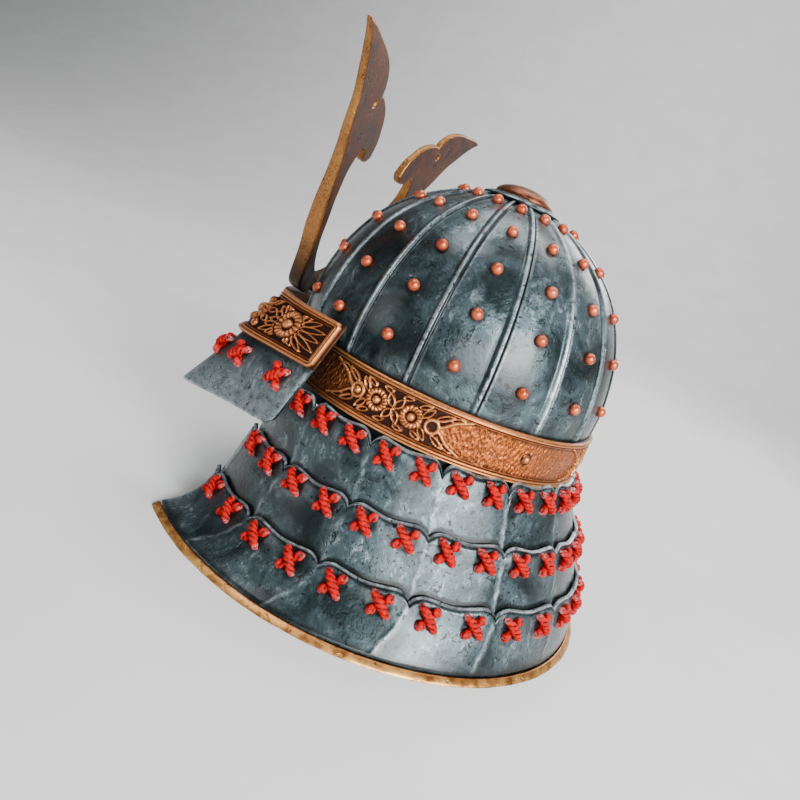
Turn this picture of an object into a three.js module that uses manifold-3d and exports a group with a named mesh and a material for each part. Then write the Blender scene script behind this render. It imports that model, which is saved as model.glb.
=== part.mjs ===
// A samurai helmet: a bowl of sixteen riveted plates, a cast band, three laced lames
// spreading round the neck, two turned-back wings and a pair of tall front horns.
// Millimetres. The front faces -Y, the wearer's left is +X and +Z is up.
import * as THREE from "three";
import Module from "manifold-3d";

const wasm = await Module();
wasm.setup();

// Sizes that drive the whole helmet
const bowlRadius = 120;
const wall = 3;
const gap = 0.4;
const plateCount = 16;
const plateAngle = (2 * Math.PI) / plateCount;
const bowlTurn = THREE.MathUtils.degToRad(2);

// Bowl: radius and height as shares of bowlRadius, from the lower edge to the crown hole
const bowlProfile = [
  { radius: 0.976, height: -0.56 },
  { radius: 0.98, height: -0.5 },
  { radius: 0.998, height: -0.47 },
  { radius: 0.998, height: -0.19 },
  { radius: 0.992, height: 0.0 },
  { radius: 0.93, height: 0.28 },
  { radius: 0.812, height: 0.52 },
  { radius: 0.722, height: 0.635 },
  { radius: 0.618, height: 0.727 },
  { radius: 0.5, height: 0.807 },
  { radius: 0.375, height: 0.87 },
  { radius: 0.235, height: 0.912 },
  { radius: 0.11, height: 0.93 },
];
const ribHalfWidth = 1.7;
const ribHeight = 1.5;
const ribFoot = -0.19;

// Rivets: five up the middle of each plate
const rivetRows = [
  { radius: 0.993, height: 0.0 },
  { radius: 0.932, height: 0.28 },
  { radius: 0.812, height: 0.52 },
  { radius: 0.618, height: 0.727 },
  { radius: 0.376, height: 0.869 },
];
const rivetRadius = 4.2;
const rivetSides = 6;
const rivetSeat = 1.6;

// Crown: a dark plate and a cast dome above it
const crownPlateRadius = 0.255 * bowlRadius;
const crownPlateThick = 4.6;
const crownPlateFoot = 0.916 * bowlRadius;
const crownPlateHollow = 3.3;
const crownPlateBevel = 1.2;
const crownDomeRadius = 0.19 * bowlRadius;
const crownDomeRise = 10;

// Band round the foot of the bowl
const bandThick = 3.2;
const bandInner = 0.998 * bowlRadius + gap;
const bandRadius = bandInner + bandThick;
const bandTop = -0.192 * bowlRadius;
const bandFoot = -0.484 * bowlRadius;
const bandRidge = 1.2;
const bandRidgeWidth = 3;

// Neck guard. The upper and foot lines of each lame are circles whose middle lies
// behind the bowl's axis by shift and whose front hangs lower by drop, all as shares
// of bowlRadius. The front ends stand at frontTop and frontFoot degrees
const facetRise = 0.6;
const tabRise = 6.6;
const tabNotch = 2.4;
const tabDip = 2;
const tabEdge = 0.19;
const lameOneShift = (bandRadius + bandRidge + wall) / bowlRadius - 1.055;
const lames = [
  {
    top: { radius: 1.055, shift: lameOneShift, height: -0.55, drop: 0.035 },
    foot: { radius: 1.143, shift: 0.07, height: -0.938, drop: 0.077 },
    bow: 0,
    eased: false,
    frontTop: 44,
    frontFoot: 44,
  },
  {
    top: { radius: 1.16, shift: 0.06, height: -0.868, drop: 0.069 },
    foot: { radius: 1.287, shift: 0.076, height: -1.246, drop: 0.086 },
    bow: 0,
    eased: false,
    frontTop: 42,
    frontFoot: 43,
  },
  {
    top: { radius: 1.298, shift: 0.07, height: -1.176, drop: 0.083 },
    foot: { radius: 1.506, shift: -0.055, height: -1.417, drop: 0 },
    bow: 0.03,
    eased: true,
    frontTop: 42,
    frontFoot: 52.5,
  },
];
const trimWidth = 6.4;
const trimThick = 3.8;

// Wings: the turned-back ends of the upper lame. Top and foot lines as shares of
// bowlRadius: out to the side, forward, and height; from the free edge to the root
const wingTop = [
  { side: 1.17, fore: 0.33, height: -0.03 },
  { side: 1.07, fore: 0.58, height: -0.04 },
  { side: 0.97, fore: 0.73, height: -0.05 },
  { side: 0.9, fore: 0.81, height: -0.055 },
  { side: 0.84, fore: 0.825, height: -0.07 },
  { side: 0.805, fore: 0.785, height: -0.09 },
  { side: 0.787, fore: 0.698, height: -0.1 },
];
const wingFoot = [
  { side: 1.27, fore: 0.48, height: -0.66 },
  { side: 1.16, fore: 0.8, height: -0.7 },
  { side: 1.03, fore: 1.15, height: -0.76 },
  { side: 0.93, fore: 1.27, height: -0.79 },
  { side: 0.85, fore: 1.22, height: -0.8 },
  { side: 0.8, fore: 1.05, height: -0.79 },
  { side: 0.814, fore: 0.667, height: -0.77 },
];
const wingStations = 20;
const wingRows = 4;

// Ornament plates on the wings
const ornamentFoot = 0.43;
const ornamentEnd = 0.8;
const ornamentBase = 3.2;
const ornamentBorder = 1.2;
const ornamentBorderShare = 0.09;
const rosetteRadius = 9.4;
const rosetteRise = 2;
const rosetteDome = 3.6;
const rosetteSeat = 1;
const rosetteRim = 1.4;
const rosetteKnob = 1.8;

// Horns: the outline of the back face as shares of bowlRadius, sideways and up
const hornFootHeight = -0.15;
const hornOuter = [
  { side: 1.19, height: 1.348 },
  { side: 1.112, height: 1.296 },
  { side: 1.032, height: 1.228 },
  { side: 0.953, height: 1.141 },
  { side: 0.878, height: 1.056 },
  { side: 0.831, height: 0.976 },
  { side: 0.778, height: 0.884 },
  { side: 0.709, height: 0.784 },
  { side: 0.65, height: 0.672 },
  { side: 0.596, height: 0.555 },
  { side: 0.513, height: 0.402 },
  { side: 0.438, height: 0.264 },
  { side: 0.37, height: 0.13 },
  { side: 0.33, height: 0.01 },
  { side: 0.28, height: -0.09 },
  { side: 0.17, height: -0.14 },
  { side: 0.03, height: hornFootHeight },
];
const hornInner = [
  { side: 0.03, height: -0.02 },
  { side: 0.11, height: 0.01 },
  { side: 0.2, height: 0.07 },
  { side: 0.275, height: 0.15 },
  { side: 0.35, height: 0.269 },
  { side: 0.402, height: 0.399 },
  { side: 0.455, height: 0.52 },
  { side: 0.482, height: 0.612 },
  { side: 0.5, height: 0.691 },
  { side: 0.497, height: 0.755 },
  { side: 0.474, height: 0.84 },
  { side: 0.44, height: 0.85 },
  { side: 0.4, height: 0.8 },
  { side: 0.33, height: 0.785 },
  { side: 0.281, height: 0.825 },
  { side: 0.288, height: 0.885 },
  { side: 0.302, height: 0.94 },
  { side: 0.338, height: 0.996 },
  { side: 0.385, height: 1.055 },
  { side: 0.45, height: 1.105 },
  { side: 0.56, height: 1.145 },
  { side: 0.612, height: 1.142 },
  { side: 0.604, height: 1.186 },
  { side: 0.657, height: 1.244 },
  { side: 0.719, height: 1.285 },
  { side: 0.82, height: 1.318 },
  { side: 0.985, height: 1.343 },
  { side: 1.105, height: 1.357 },
];
// The hole lies between the hook and the outer edge
const hornHoleShare = 0.45;
const hornHoleRadius = 0.018;
const hornFore = 1.101;
const hornSpread = 0.094;
const hornLean = 0.162;
const hornThick = [
  { height: -0.15, thick: 0.078 },
  { height: 0.05, thick: 0.08 },
  { height: 0.15, thick: 0.092 },
  { height: 0.3, thick: 0.112 },
  { height: 0.45, thick: 0.1 },
  { height: 0.6, thick: 0.078 },
  { height: 1.0, thick: 0.052 },
  { height: 1.25, thick: 0.044 },
  { height: 1.37, thick: 0.03 },
];

// Plain front pieces: the peak and the socket that carries the horns
const peakHalfAngle = 40;
const peakReach = 34;
const peakDip = 12.4;
const peakStations = 14;
const socketHalfWidth = 0.17;
const socketFoot = -0.45;
const socketDepth = 0.25;
const socketBevel = 2;

const darkSteel = new THREE.MeshStandardMaterial({ color: 0x3c4a4a, roughness: 0.38, metalness: 0.75 });
const darkPlate = new THREE.MeshStandardMaterial({ color: 0x2a2c2b, roughness: 0.5, metalness: 0.6 });
const copper = new THREE.MeshStandardMaterial({ color: 0x9a5c36, roughness: 0.42, metalness: 0.8 });
const bronze = new THREE.MeshStandardMaterial({ color: 0x6b4426, roughness: 0.45, metalness: 0.8 });

const helmet = new THREE.Group();
helmet.name = "samurai_helmet";

function pointAt(angle, radius, height) {
  return new THREE.Vector3(radius * Math.sin(angle), -radius * Math.cos(angle), height);
}

function bufferOf(points, faces) {
  const geometry = new THREE.BufferGeometry();
  const flat = points.flatMap((p) => [p.x, p.y, p.z]);
  geometry.setAttribute("position", new THREE.Float32BufferAttribute(flat, 3));
  geometry.setIndex(faces.flat());
  return geometry;
}

// A wall between an outer and an inner grid of points. Each station is a row of
// outer points with the inner points facing them; a ring joins the last to the first
function wallBody(stations, ring) {
  const rows = stations[0].outer.length;
  const points = [];
  stations.forEach((s) => points.push(...s.outer, ...s.inner));
  const at = (i, j, inside) => (i % stations.length) * rows * 2 + (inside ? rows : 0) + j;
  const faces = [];
  const quad = (a, b, c, d) => faces.push([a, b, c], [a, c, d]);
  const spans = ring ? stations.length : stations.length - 1;
  for (let i = 0; i < spans; i += 1) {
    for (let j = 0; j < rows - 1; j += 1) {
      quad(at(i, j, false), at(i + 1, j, false), at(i + 1, j + 1, false), at(i, j + 1, false));
      quad(at(i, j, true), at(i, j + 1, true), at(i + 1, j + 1, true), at(i + 1, j, true));
    }
    quad(at(i, 0, false), at(i, 0, true), at(i + 1, 0, true), at(i + 1, 0, false));
    const last = rows - 1;
    quad(at(i, last, false), at(i + 1, last, false), at(i + 1, last, true), at(i, last, true));
  }
  if (!ring) {
    const end = stations.length - 1;
    for (let j = 0; j < rows - 1; j += 1) {
      quad(at(0, j, false), at(0, j + 1, false), at(0, j + 1, true), at(0, j, true));
      quad(at(end, j, false), at(end, j, true), at(end, j + 1, true), at(end, j + 1, false));
    }
  }
  return outward(bufferOf(points, faces));
}

// Turns a closed geometry so that its faces look outward
function outward(geometry) {
  const p = geometry.attributes.position;
  const index = geometry.index.array;
  let volume = 0;
  const a = new THREE.Vector3();
  const b = new THREE.Vector3();
  const c = new THREE.Vector3();
  for (let i = 0; i < index.length; i += 3) {
    a.fromBufferAttribute(p, index[i]);
    b.fromBufferAttribute(p, index[i + 1]);
    c.fromBufferAttribute(p, index[i + 2]);
    volume += a.dot(b.cross(c));
  }
  if (volume < 0) {
    const turned = [];
    for (let i = 0; i < index.length; i += 3) {
      turned.push(index[i], index[i + 2], index[i + 1]);
    }
    geometry.setIndex(turned);
  }
  return geometry;
}

function toManifold(geometry) {
  const vertProperties = new Float32Array(geometry.attributes.position.array);
  const triVerts = new Uint32Array(geometry.index.array);
  return new wasm.Manifold(new wasm.Mesh({ numProp: 3, vertProperties, triVerts }));
}

function fromManifold(body) {
  const mesh = body.getMesh();
  const geometry = new THREE.BufferGeometry();
  geometry.setAttribute("position", new THREE.Float32BufferAttribute(mesh.vertProperties, 3));
  geometry.setIndex(Array.from(mesh.triVerts));
  return geometry;
}

// Joins small bodies to the piece that carries them
function fuse(carrier, additions) {
  let body = toManifold(carrier);
  additions.forEach((extra) => {
    body = body.add(toManifold(extra));
  });
  return fromManifold(body);
}

function addPiece(name, geometry, material) {
  const mesh = new THREE.Mesh(geometry, material);
  mesh.name = name;
  helmet.add(mesh);
}

function mirrored(geometry) {
  const copy = geometry.clone();
  copy.scale(-1, 1, 1);
  return outward(copy);
}

// A profile of radius and height turned round the axis
function turned(profile, sides) {
  const points = profile.map((p) => new THREE.Vector2(p.radius, p.height));
  const lathe = new THREE.LatheGeometry(points, sides);
  lathe.rotateX(Math.PI / 2);
  return outward(welded(lathe));
}

// Merges equal points so that a lathe or a sphere is one closed body
function welded(geometry) {
  const source = geometry.attributes.position;
  const index = geometry.index.array;
  const seen = new Map();
  const points = [];
  const renamed = [];
  for (let i = 0; i < source.count; i += 1) {
    const point = new THREE.Vector3().fromBufferAttribute(source, i);
    const key = [point.x, point.y, point.z].map((v) => Math.round(v * 1e4)).join(",");
    if (!seen.has(key)) {
      seen.set(key, points.length);
      points.push(point);
    }
    renamed.push(seen.get(key));
  }
  const faces = [];
  for (let i = 0; i < index.length; i += 3) {
    const face = [renamed[index[i]], renamed[index[i + 1]], renamed[index[i + 2]]];
    if (new Set(face).size === 3) {
      faces.push(face);
    }
  }
  return bufferOf(points, faces);
}

// Bowl with raised ribs at the plate joints and rivets up the plates
function bowlStations() {
  const offsets = [-1, 0, 1];
  const stations = [];
  const inner = bowlProfile.map((p, j) => {
    const next = bowlProfile[Math.min(j + 1, bowlProfile.length - 1)];
    const back = bowlProfile[Math.max(j - 1, 0)];
    const along = new THREE.Vector2(next.radius - back.radius, next.height - back.height);
    along.normalize();
    return {
      radius: p.radius * bowlRadius - wall * along.y,
      height: p.height * bowlRadius + (j === 0 ? 0 : wall * along.x),
    };
  });
  for (let k = 0; k < plateCount; k += 1) {
    const columns = [
      ...offsets.map((o) => ({ rib: o })),
      { share: 0.5 },
    ];
    columns.forEach((column) => {
      const outer = bowlProfile.map((p) => {
        const radius = p.radius * bowlRadius;
        const half = Math.min(ribHalfWidth / radius, plateAngle * 0.2);
        if ("share" in column) {
          return pointAt((k + column.share) * plateAngle + bowlTurn, radius, p.height * bowlRadius);
        }
        const raised = Math.abs(column.rib) < 1 && p.height > ribFoot ? ribHeight : 0;
        const lift = raised * (p.radius < 0.3 ? 0.4 : 1);
        const angle = k * plateAngle + bowlTurn + column.rib * half;
        return pointAt(angle, radius + lift, p.height * bowlRadius + (p.height > 0.5 ? lift : 0));
      });
      const inside = inner.map((p, j) => {
        const source = bowlProfile[j];
        const half = Math.min(ribHalfWidth / (source.radius * bowlRadius), plateAngle * 0.2);
        const turn = "share" in column ? column.share * plateAngle : column.rib * half;
        return pointAt(k * plateAngle + bowlTurn + turn, p.radius, p.height);
      });
      stations.push({ outer, inner: inside });
    });
  }
  return stations;
}

function rivetBodies() {
  const bodies = [];
  for (let k = 0; k < plateCount; k += 1) {
    rivetRows.forEach((row, j) => {
      const angle = (k + 0.5) * plateAngle + bowlTurn;
      const before = rivetRows[Math.max(j - 1, 0)];
      const after = rivetRows[Math.min(j + 1, rivetRows.length - 1)];
      const slope = Math.atan2(before.radius - after.radius, after.height - before.height);
      const head = turned(
        [
          { radius: 0, height: -rivetSeat },
          { radius: rivetRadius, height: -rivetSeat },
          { radius: rivetRadius * 0.86, height: rivetRadius * 0.72 },
          { radius: 0, height: rivetRadius * 1.3 },
        ],
        rivetSides,
      );
      head.rotateY(Math.PI / 2 - slope);
      head.rotateZ(angle - Math.PI / 2);
      const seat = pointAt(angle, row.radius * bowlRadius, row.height * bowlRadius);
      head.translate(seat.x, seat.y, seat.z);
      bodies.push(outward(head));
    });
  }
  return bodies;
}

addPiece("bowl", fuse(wallBody(bowlStations(), true), rivetBodies()), darkSteel);

// Crown plate and dome
const crownTop = crownPlateFoot + crownPlateThick;
addPiece(
  "crown_plate",
  turned(
    [
      { radius: 0, height: crownPlateFoot + crownPlateHollow },
      { radius: crownPlateRadius * 0.3, height: crownPlateFoot + crownPlateHollow },
      { radius: crownPlateRadius * 0.6, height: crownPlateFoot + crownPlateHollow * 0.72 },
      { radius: crownPlateRadius - crownPlateBevel, height: crownPlateFoot + crownPlateBevel * 0.25 },
      { radius: crownPlateRadius, height: crownPlateFoot + crownPlateBevel },
      { radius: crownPlateRadius - crownPlateBevel, height: crownTop - crownPlateBevel },
      { radius: crownPlateRadius * 0.78, height: crownTop },
      { radius: 0, height: crownTop },
    ],
    24,
  ),
  darkPlate,
);
const domeProfile = [{ radius: 0, height: crownTop + gap }];
for (let i = 0; i <= 6; i += 1) {
  const a = (i / 6) * (Math.PI / 2);
  domeProfile.push({
    radius: crownDomeRadius * Math.cos(a),
    height: crownTop + gap + crownDomeRise * Math.sin(a),
  });
}
addPiece("crown_dome", turned(domeProfile, 24), copper);

// Band: double ridges along its upper and lower edges
const bandLoop = [
  { lift: 0, height: bandTop },
  { lift: bandRidge, height: bandTop - bandRidgeWidth * 0.5 },
  { lift: 0, height: bandTop - bandRidgeWidth },
  { lift: 0, height: bandFoot + bandRidgeWidth },
  { lift: bandRidge, height: bandFoot + bandRidgeWidth * 0.5 },
  { lift: 0, height: bandFoot },
];
const bandStations = [];
const bandSides = 40;
for (let i = 0; i < bandSides; i += 1) {
  const angle = (i / bandSides) * 2 * Math.PI;
  bandStations.push({
    outer: bandLoop.map((p) => pointAt(angle, bandRadius + p.lift, p.height)),
    inner: bandLoop.map((p) => pointAt(angle, bandInner, p.height)),
  });
}
addPiece("band", wallBody(bandStations, true), copper);

// A point of a circle of the neck guard, with its radius and height moved by mm
function guardPoint(degrees, line, outward = 0, upward = 0) {
  const angle = THREE.MathUtils.degToRad(degrees);
  const radius = line.radius * bowlRadius + outward;
  return new THREE.Vector3(
    radius * Math.sin(angle),
    line.shift * bowlRadius - radius * Math.cos(angle),
    (line.height - line.drop * Math.cos(angle)) * bowlRadius + upward,
  );
}

// The circle of a lame at a share of the way down
function lameLine(lame, share) {
  const mix = (key, t) => THREE.MathUtils.lerp(lame.top[key], lame.foot[key], t);
  const late = lame.eased ? share * Math.abs(share) : share;
  return {
    radius: mix("radius", share) - lame.bow * 4 * share * (1 - share),
    height: mix("height", share),
    shift: mix("shift", late),
    drop: mix("drop", late),
  };
}

// The scalloped upper edge: how far it stands above the notches, in mm
function tabHeight(degrees) {
  const pitch = 360 / plateCount;
  const turn = (((degrees % pitch) + pitch) % pitch) / pitch;
  const near = Math.min(turn, 1 - turn);
  const rise = Math.min(near / tabEdge, 1);
  const shoulder = Math.sqrt(1 - (1 - rise) * (1 - rise));
  const dip = Math.max(0, (near - 0.25) / 0.25);
  return tabRise * shoulder - tabDip * dip * dip - tabNotch;
}

// The faces between the notches are a little flatter than the circle
function facetLift(degrees) {
  const pitch = 360 / plateCount;
  const turn = (((degrees % pitch) + pitch) % pitch) / pitch;
  const ridge = Math.abs(turn - 0.5) * 2;
  return (ridge * ridge - 1) * facetRise;
}

function lameStation(lame, turn, degrees, rows) {
  const outer = [];
  const inner = [];
  const tall = (lame.top.height - lame.foot.height) * bowlRadius;
  const lift = tabHeight(degrees) / tall;
  for (let j = 0; j < rows; j += 1) {
    const along = j / (rows - 1);
    const front = THREE.MathUtils.lerp(lame.frontTop, lame.frontFoot, along);
    const side = THREE.MathUtils.lerp(front, 360 - front, turn);
    const share = THREE.MathUtils.lerp(-lift, 1, along);
    const line = lameLine(lame, share);
    const step = 0.02;
    const near = lameLine(lame, share - step).radius;
    const far = lameLine(lame, share + step).radius;
    const slope = ((far - near) * bowlRadius) / (2 * step * tall);
    const length = Math.hypot(1, slope);
    const facet = facetLift(side);
    outer.push(guardPoint(side, line, facet));
    inner.push(guardPoint(side, line, facet - wall / length, (-wall * slope) / length));
  }
  return { outer, inner };
}

// Angles that put points on every notch and on both shoulders of every tab
function lameAngles(lame) {
  const pitch = 360 / plateCount;
  const shares = [0, tabEdge, 0.5, 1 - tabEdge];
  const angles = [lame.frontTop, 360 - lame.frontTop];
  for (let k = 0; k < plateCount; k += 1) {
    shares.forEach((s) => {
      const degrees = (k + s) * pitch;
      if (degrees > lame.frontTop + 1 && degrees < 360 - lame.frontTop - 1) {
        angles.push(degrees);
      }
    });
  }
  return angles.sort((a, b) => a - b);
}

function lameBody(lame, rows) {
  const stations = lameAngles(lame).map((degrees) => {
    const turn = (degrees - lame.frontTop) / (360 - 2 * lame.frontTop);
    return lameStation(lame, turn, degrees, rows);
  });
  return wallBody(stations, false);
}

// Wings: a wall ruled between the top and foot lines
function lineOf(table) {
  return new THREE.CatmullRomCurve3(
    table.map((p) => new THREE.Vector3(p.side, -p.fore, p.height).multiplyScalar(bowlRadius)),
    false,
    "centripetal",
  );
}

const wingTopLine = lineOf(wingTop);
const wingFootLine = lineOf(wingFoot);

// A point on the outer face of the left wing, or above it by a height
function wingPoint(along, down, lift) {
  const place = (u, v) => wingTopLine.getPoint(u).lerp(wingFootLine.getPoint(u), v);
  const step = 0.004;
  const u0 = Math.max(0, along - step);
  const u1 = Math.min(1, along + step);
  const across = place(u1, down).sub(place(u0, down));
  const fall = wingFootLine.getPoint(along).sub(wingTopLine.getPoint(along));
  const normal = new THREE.Vector3().crossVectors(fall, across).normalize();
  return place(along, down).addScaledVector(normal, -lift);
}

function wingBody() {
  const stations = [];
  for (let i = 0; i <= wingStations; i += 1) {
    const u = i / wingStations;
    const outer = [];
    const inner = [];
    for (let j = 0; j < wingRows; j += 1) {
      const v = j / (wingRows - 1);
      outer.push(wingPoint(u, v, 0));
      inner.push(wingPoint(u, v, -wall));
    }
    stations.push({ outer, inner });
  }
  return wallBody(stations, false);
}

const leftWing = wingBody();
const upperLame = fuse(lameBody(lames[0], 3), [leftWing, mirrored(leftWing)]);
addPiece("lame_1", upperLame, darkSteel);
addPiece("lame_2", lameBody(lames[1], 3), darkSteel);
addPiece("lame_3", lameBody(lames[2], 4), darkSteel);

// Trim along the foot of the lowest lame, following its stations. Its foot is level, so
// that the helmet stands on it
function trimBody() {
  const lame = lames[2];
  const middle = (trimThick - wall) / 2;
  const stations = lameAngles(lame).map((degrees) => {
    const turn = (degrees - lame.frontTop) / (360 - 2 * lame.frontTop);
    const { outer, inner } = lameStation(lame, turn, degrees, 2);
    const side = THREE.MathUtils.lerp(lame.frontFoot, 360 - lame.frontFoot, turn);
    const angle = THREE.MathUtils.degToRad(side);
    const round = new THREE.Vector3(Math.cos(angle), Math.sin(angle), 0);
    const out = outer[1].clone().sub(inner[1]).normalize();
    const fall = new THREE.Vector3().crossVectors(out, round).normalize();
    if (fall.z > 0) {
      fall.negate();
    }
    const corner = (down, lift) => outer[1].clone().addScaledVector(fall, down)
      .addScaledVector(out, lift);
    const toe = corner(gap + trimWidth, middle);
    const heel = corner(gap, middle - trimThick);
    const level = heel.clone().addScaledVector(fall, (toe.z - heel.z) / fall.z);
    return { outer: [corner(gap, middle), toe], inner: [heel, level] };
  });
  return wallBody(stations, false);
}
addPiece("rim_trim", trimBody(), copper);

// Ornament plate of the left wing: a bordered plate with two rosettes
function ornamentBody() {
  const alongSteps = [0, ornamentBorderShare * 0.7, ornamentBorderShare * 0.9];
  const inside = 10;
  for (let i = 1; i < inside; i += 1) {
    alongSteps.push(THREE.MathUtils.lerp(0.08, ornamentEnd - 0.08, i / inside));
  }
  alongSteps.push(ornamentEnd - 0.08, ornamentEnd - 0.065, ornamentEnd);
  const downSteps = [0, 0.13, 0.16, 0.5, 0.84, 0.87, 1];
  const stations = alongSteps.map((u, i) => {
    const edgeColumn = i < 2 || i > alongSteps.length - 3;
    const outer = [];
    const inner = [];
    downSteps.forEach((d, j) => {
      const edge = edgeColumn || j < 2 || j > downSteps.length - 3;
      const v = d * ornamentFoot;
      const place = 0.012 + u * 0.976;
      outer.push(wingPoint(place, v, gap + ornamentBase + (edge ? ornamentBorder : 0)));
      inner.push(wingPoint(place, v, gap));
    });
    return { outer, inner };
  });
  return wallBody(stations, false);
}

function rosetteBody(along, down) {
  const centre = wingPoint(along, down, gap + ornamentBase - rosetteSeat);
  const outer = wingPoint(along, down, gap + ornamentBase + rosetteRadius);
  const direction = outer.sub(centre).normalize();
  const disc = turned(
    [
      { radius: 0, height: 0 },
      { radius: rosetteRadius, height: 0 },
      { radius: rosetteRadius, height: rosetteSeat + rosetteRise * 0.6 },
      { radius: rosetteRadius - rosetteRim, height: rosetteSeat + rosetteRise },
      { radius: rosetteDome, height: rosetteSeat + rosetteRise * 0.7 },
      { radius: rosetteDome * 0.7, height: rosetteSeat + rosetteRise + rosetteKnob * 0.55 },
      { radius: 0, height: rosetteSeat + rosetteRise + rosetteKnob },
    ],
    12,
  );
  const turn = new THREE.Quaternion().setFromUnitVectors(new THREE.Vector3(0, 0, 1), direction);
  disc.applyQuaternion(turn);
  disc.translate(centre.x, centre.y, centre.z);
  return disc;
}

const leftOrnament = fuse(ornamentBody(), [
  rosetteBody(0.175, ornamentFoot * 0.48),
  rosetteBody(0.46, ornamentFoot * 0.48),
]);
addPiece("wing_ornament_left", leftOrnament, copper);
addPiece("wing_ornament_right", mirrored(leftOrnament), copper);

// Horns
function hornThickness(height) {
  for (let i = 1; i < hornThick.length; i += 1) {
    if (height <= hornThick[i].height) {
      const low = hornThick[i - 1];
      const high = hornThick[i];
      const t = (height - low.height) / (high.height - low.height);
      return THREE.MathUtils.lerp(low.thick, high.thick, Math.max(0, t));
    }
  }
  return hornThick[hornThick.length - 1].thick;
}

function hornPoint(p, front) {
  const fore = hornFore - hornSpread * p.x - hornLean * p.y;
  const back = new THREE.Vector3(p.x, -fore, p.y);
  const ahead = new THREE.Vector3(hornSpread, -1, hornLean).normalize();
  const thick = front ? hornThickness(p.y) : 0;
  return back.addScaledVector(ahead, thick).multiplyScalar(bowlRadius);
}

function hornBody() {
  const contour = [...hornOuter, ...hornInner].map((p) => new THREE.Vector2(p.side, p.height));
  const hole = [];
  const hook = hornInner[19];
  const edge = hornOuter[4];
  const side = THREE.MathUtils.lerp(hook.side, edge.side, hornHoleShare);
  const height = THREE.MathUtils.lerp(hook.height, edge.height, hornHoleShare);
  for (let i = 0; i < 8; i += 1) {
    const a = (i / 8) * 2 * Math.PI;
    hole.push(new THREE.Vector2(
      side + hornHoleRadius * Math.cos(a),
      height + hornHoleRadius * Math.sin(a),
    ));
  }
  const rings = [contour, hole];
  const all = [...contour, ...hole];
  const faces2d = THREE.ShapeUtils.triangulateShape(contour, [hole]);
  const count = all.length;
  const points = [...all.map((p) => hornPoint(p, false)), ...all.map((p) => hornPoint(p, true))];
  const faces = [];
  const area = (loop) => THREE.ShapeUtils.area(loop);
  faces2d.forEach((face) => {
    const [a, b, c] = area(face.map((i) => all[i])) > 0 ? face : [face[0], face[2], face[1]];
    faces.push([a, b, c], [a + count, c + count, b + count]);
  });
  // The side wall follows the outline with the solid on its left, and the hole likewise
  let start = 0;
  rings.forEach((loop, r) => {
    const leftSided = (area(loop) > 0) === (r === 0);
    for (let i = 0; i < loop.length; i += 1) {
      const here = start + i;
      const next = start + ((i + 1) % loop.length);
      const [a, b] = leftSided ? [here, next] : [next, here];
      faces.push([b, a, a + count], [b, a + count, b + count]);
    }
    start += loop.length;
  });
  return outward(bufferOf(points, faces));
}

const leftHorn = hornBody();
addPiece("horn_left", leftHorn, bronze);
addPiece("horn_right", mirrored(leftHorn), bronze);

// Socket in front of the band, under the horns
function socketBody() {
  const stations = [];
  const count = 12;
  const half = Math.asin((socketHalfWidth * bowlRadius) / bandRadius);
  for (let i = 0; i <= count; i += 1) {
    const angle = THREE.MathUtils.lerp(-half, half, i / count);
    const end = Math.abs(i / count - 0.5) * 2;
    const depth = socketDepth * Math.sqrt(1 - 0.55 * end * end * end * end);
    const near = bandRadius + bandRidge + gap;
    const far = bandRadius + depth * bowlRadius;
    const top = hornFootHeight * bowlRadius - gap;
    const foot = socketFoot * bowlRadius;
    stations.push({
      outer: [
        pointAt(angle, far - socketBevel, top),
        pointAt(angle, far, top - socketBevel),
        pointAt(angle, far, foot + socketBevel),
        pointAt(angle, far - socketBevel, foot),
      ],
      inner: [top, top - socketBevel, foot + socketBevel, foot].map((h) => pointAt(angle, near, h)),
    });
  }
  return wallBody(stations, false);
}
addPiece("horn_socket", socketBody(), copper);

// Peak over the brow
function peakBody() {
  const stations = [];
  for (let i = 0; i <= peakStations; i += 1) {
    const share = i / peakStations;
    const degrees = THREE.MathUtils.lerp(-peakHalfAngle, peakHalfAngle, share);
    const angle = THREE.MathUtils.degToRad(degrees);
    const side = Math.abs(share - 0.5) * 2;
    const reach = Math.sqrt(Math.max(0.04, 1 - side * side * 0.96));
    const outer = [];
    const inner = [];
    for (let j = 0; j < 4; j += 1) {
      const t = (j / 3) * reach;
      const radius = bandInner + gap + peakReach * t;
      const height = bandFoot - gap - peakDip * t * t;
      outer.push(pointAt(angle, radius, height));
      inner.push(pointAt(angle, radius, height - wall));
    }
    stations.push({ outer, inner });
  }
  return wallBody(stations, false);
}
addPiece("peak", peakBody(), darkSteel);

// The origin is the middle of the foot of the whole helmet
const box = new THREE.Box3();
helmet.children.forEach((mesh) => {
  mesh.geometry.computeBoundingBox();
  box.union(mesh.geometry.boundingBox);
});
const middleY = (box.min.y + box.max.y) / 2;
helmet.children.forEach((mesh) => {
  mesh.geometry.translate(0, -middleY, -box.min.z);
  mesh.geometry.computeVertexNormals();
});

export default helmet;
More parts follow.
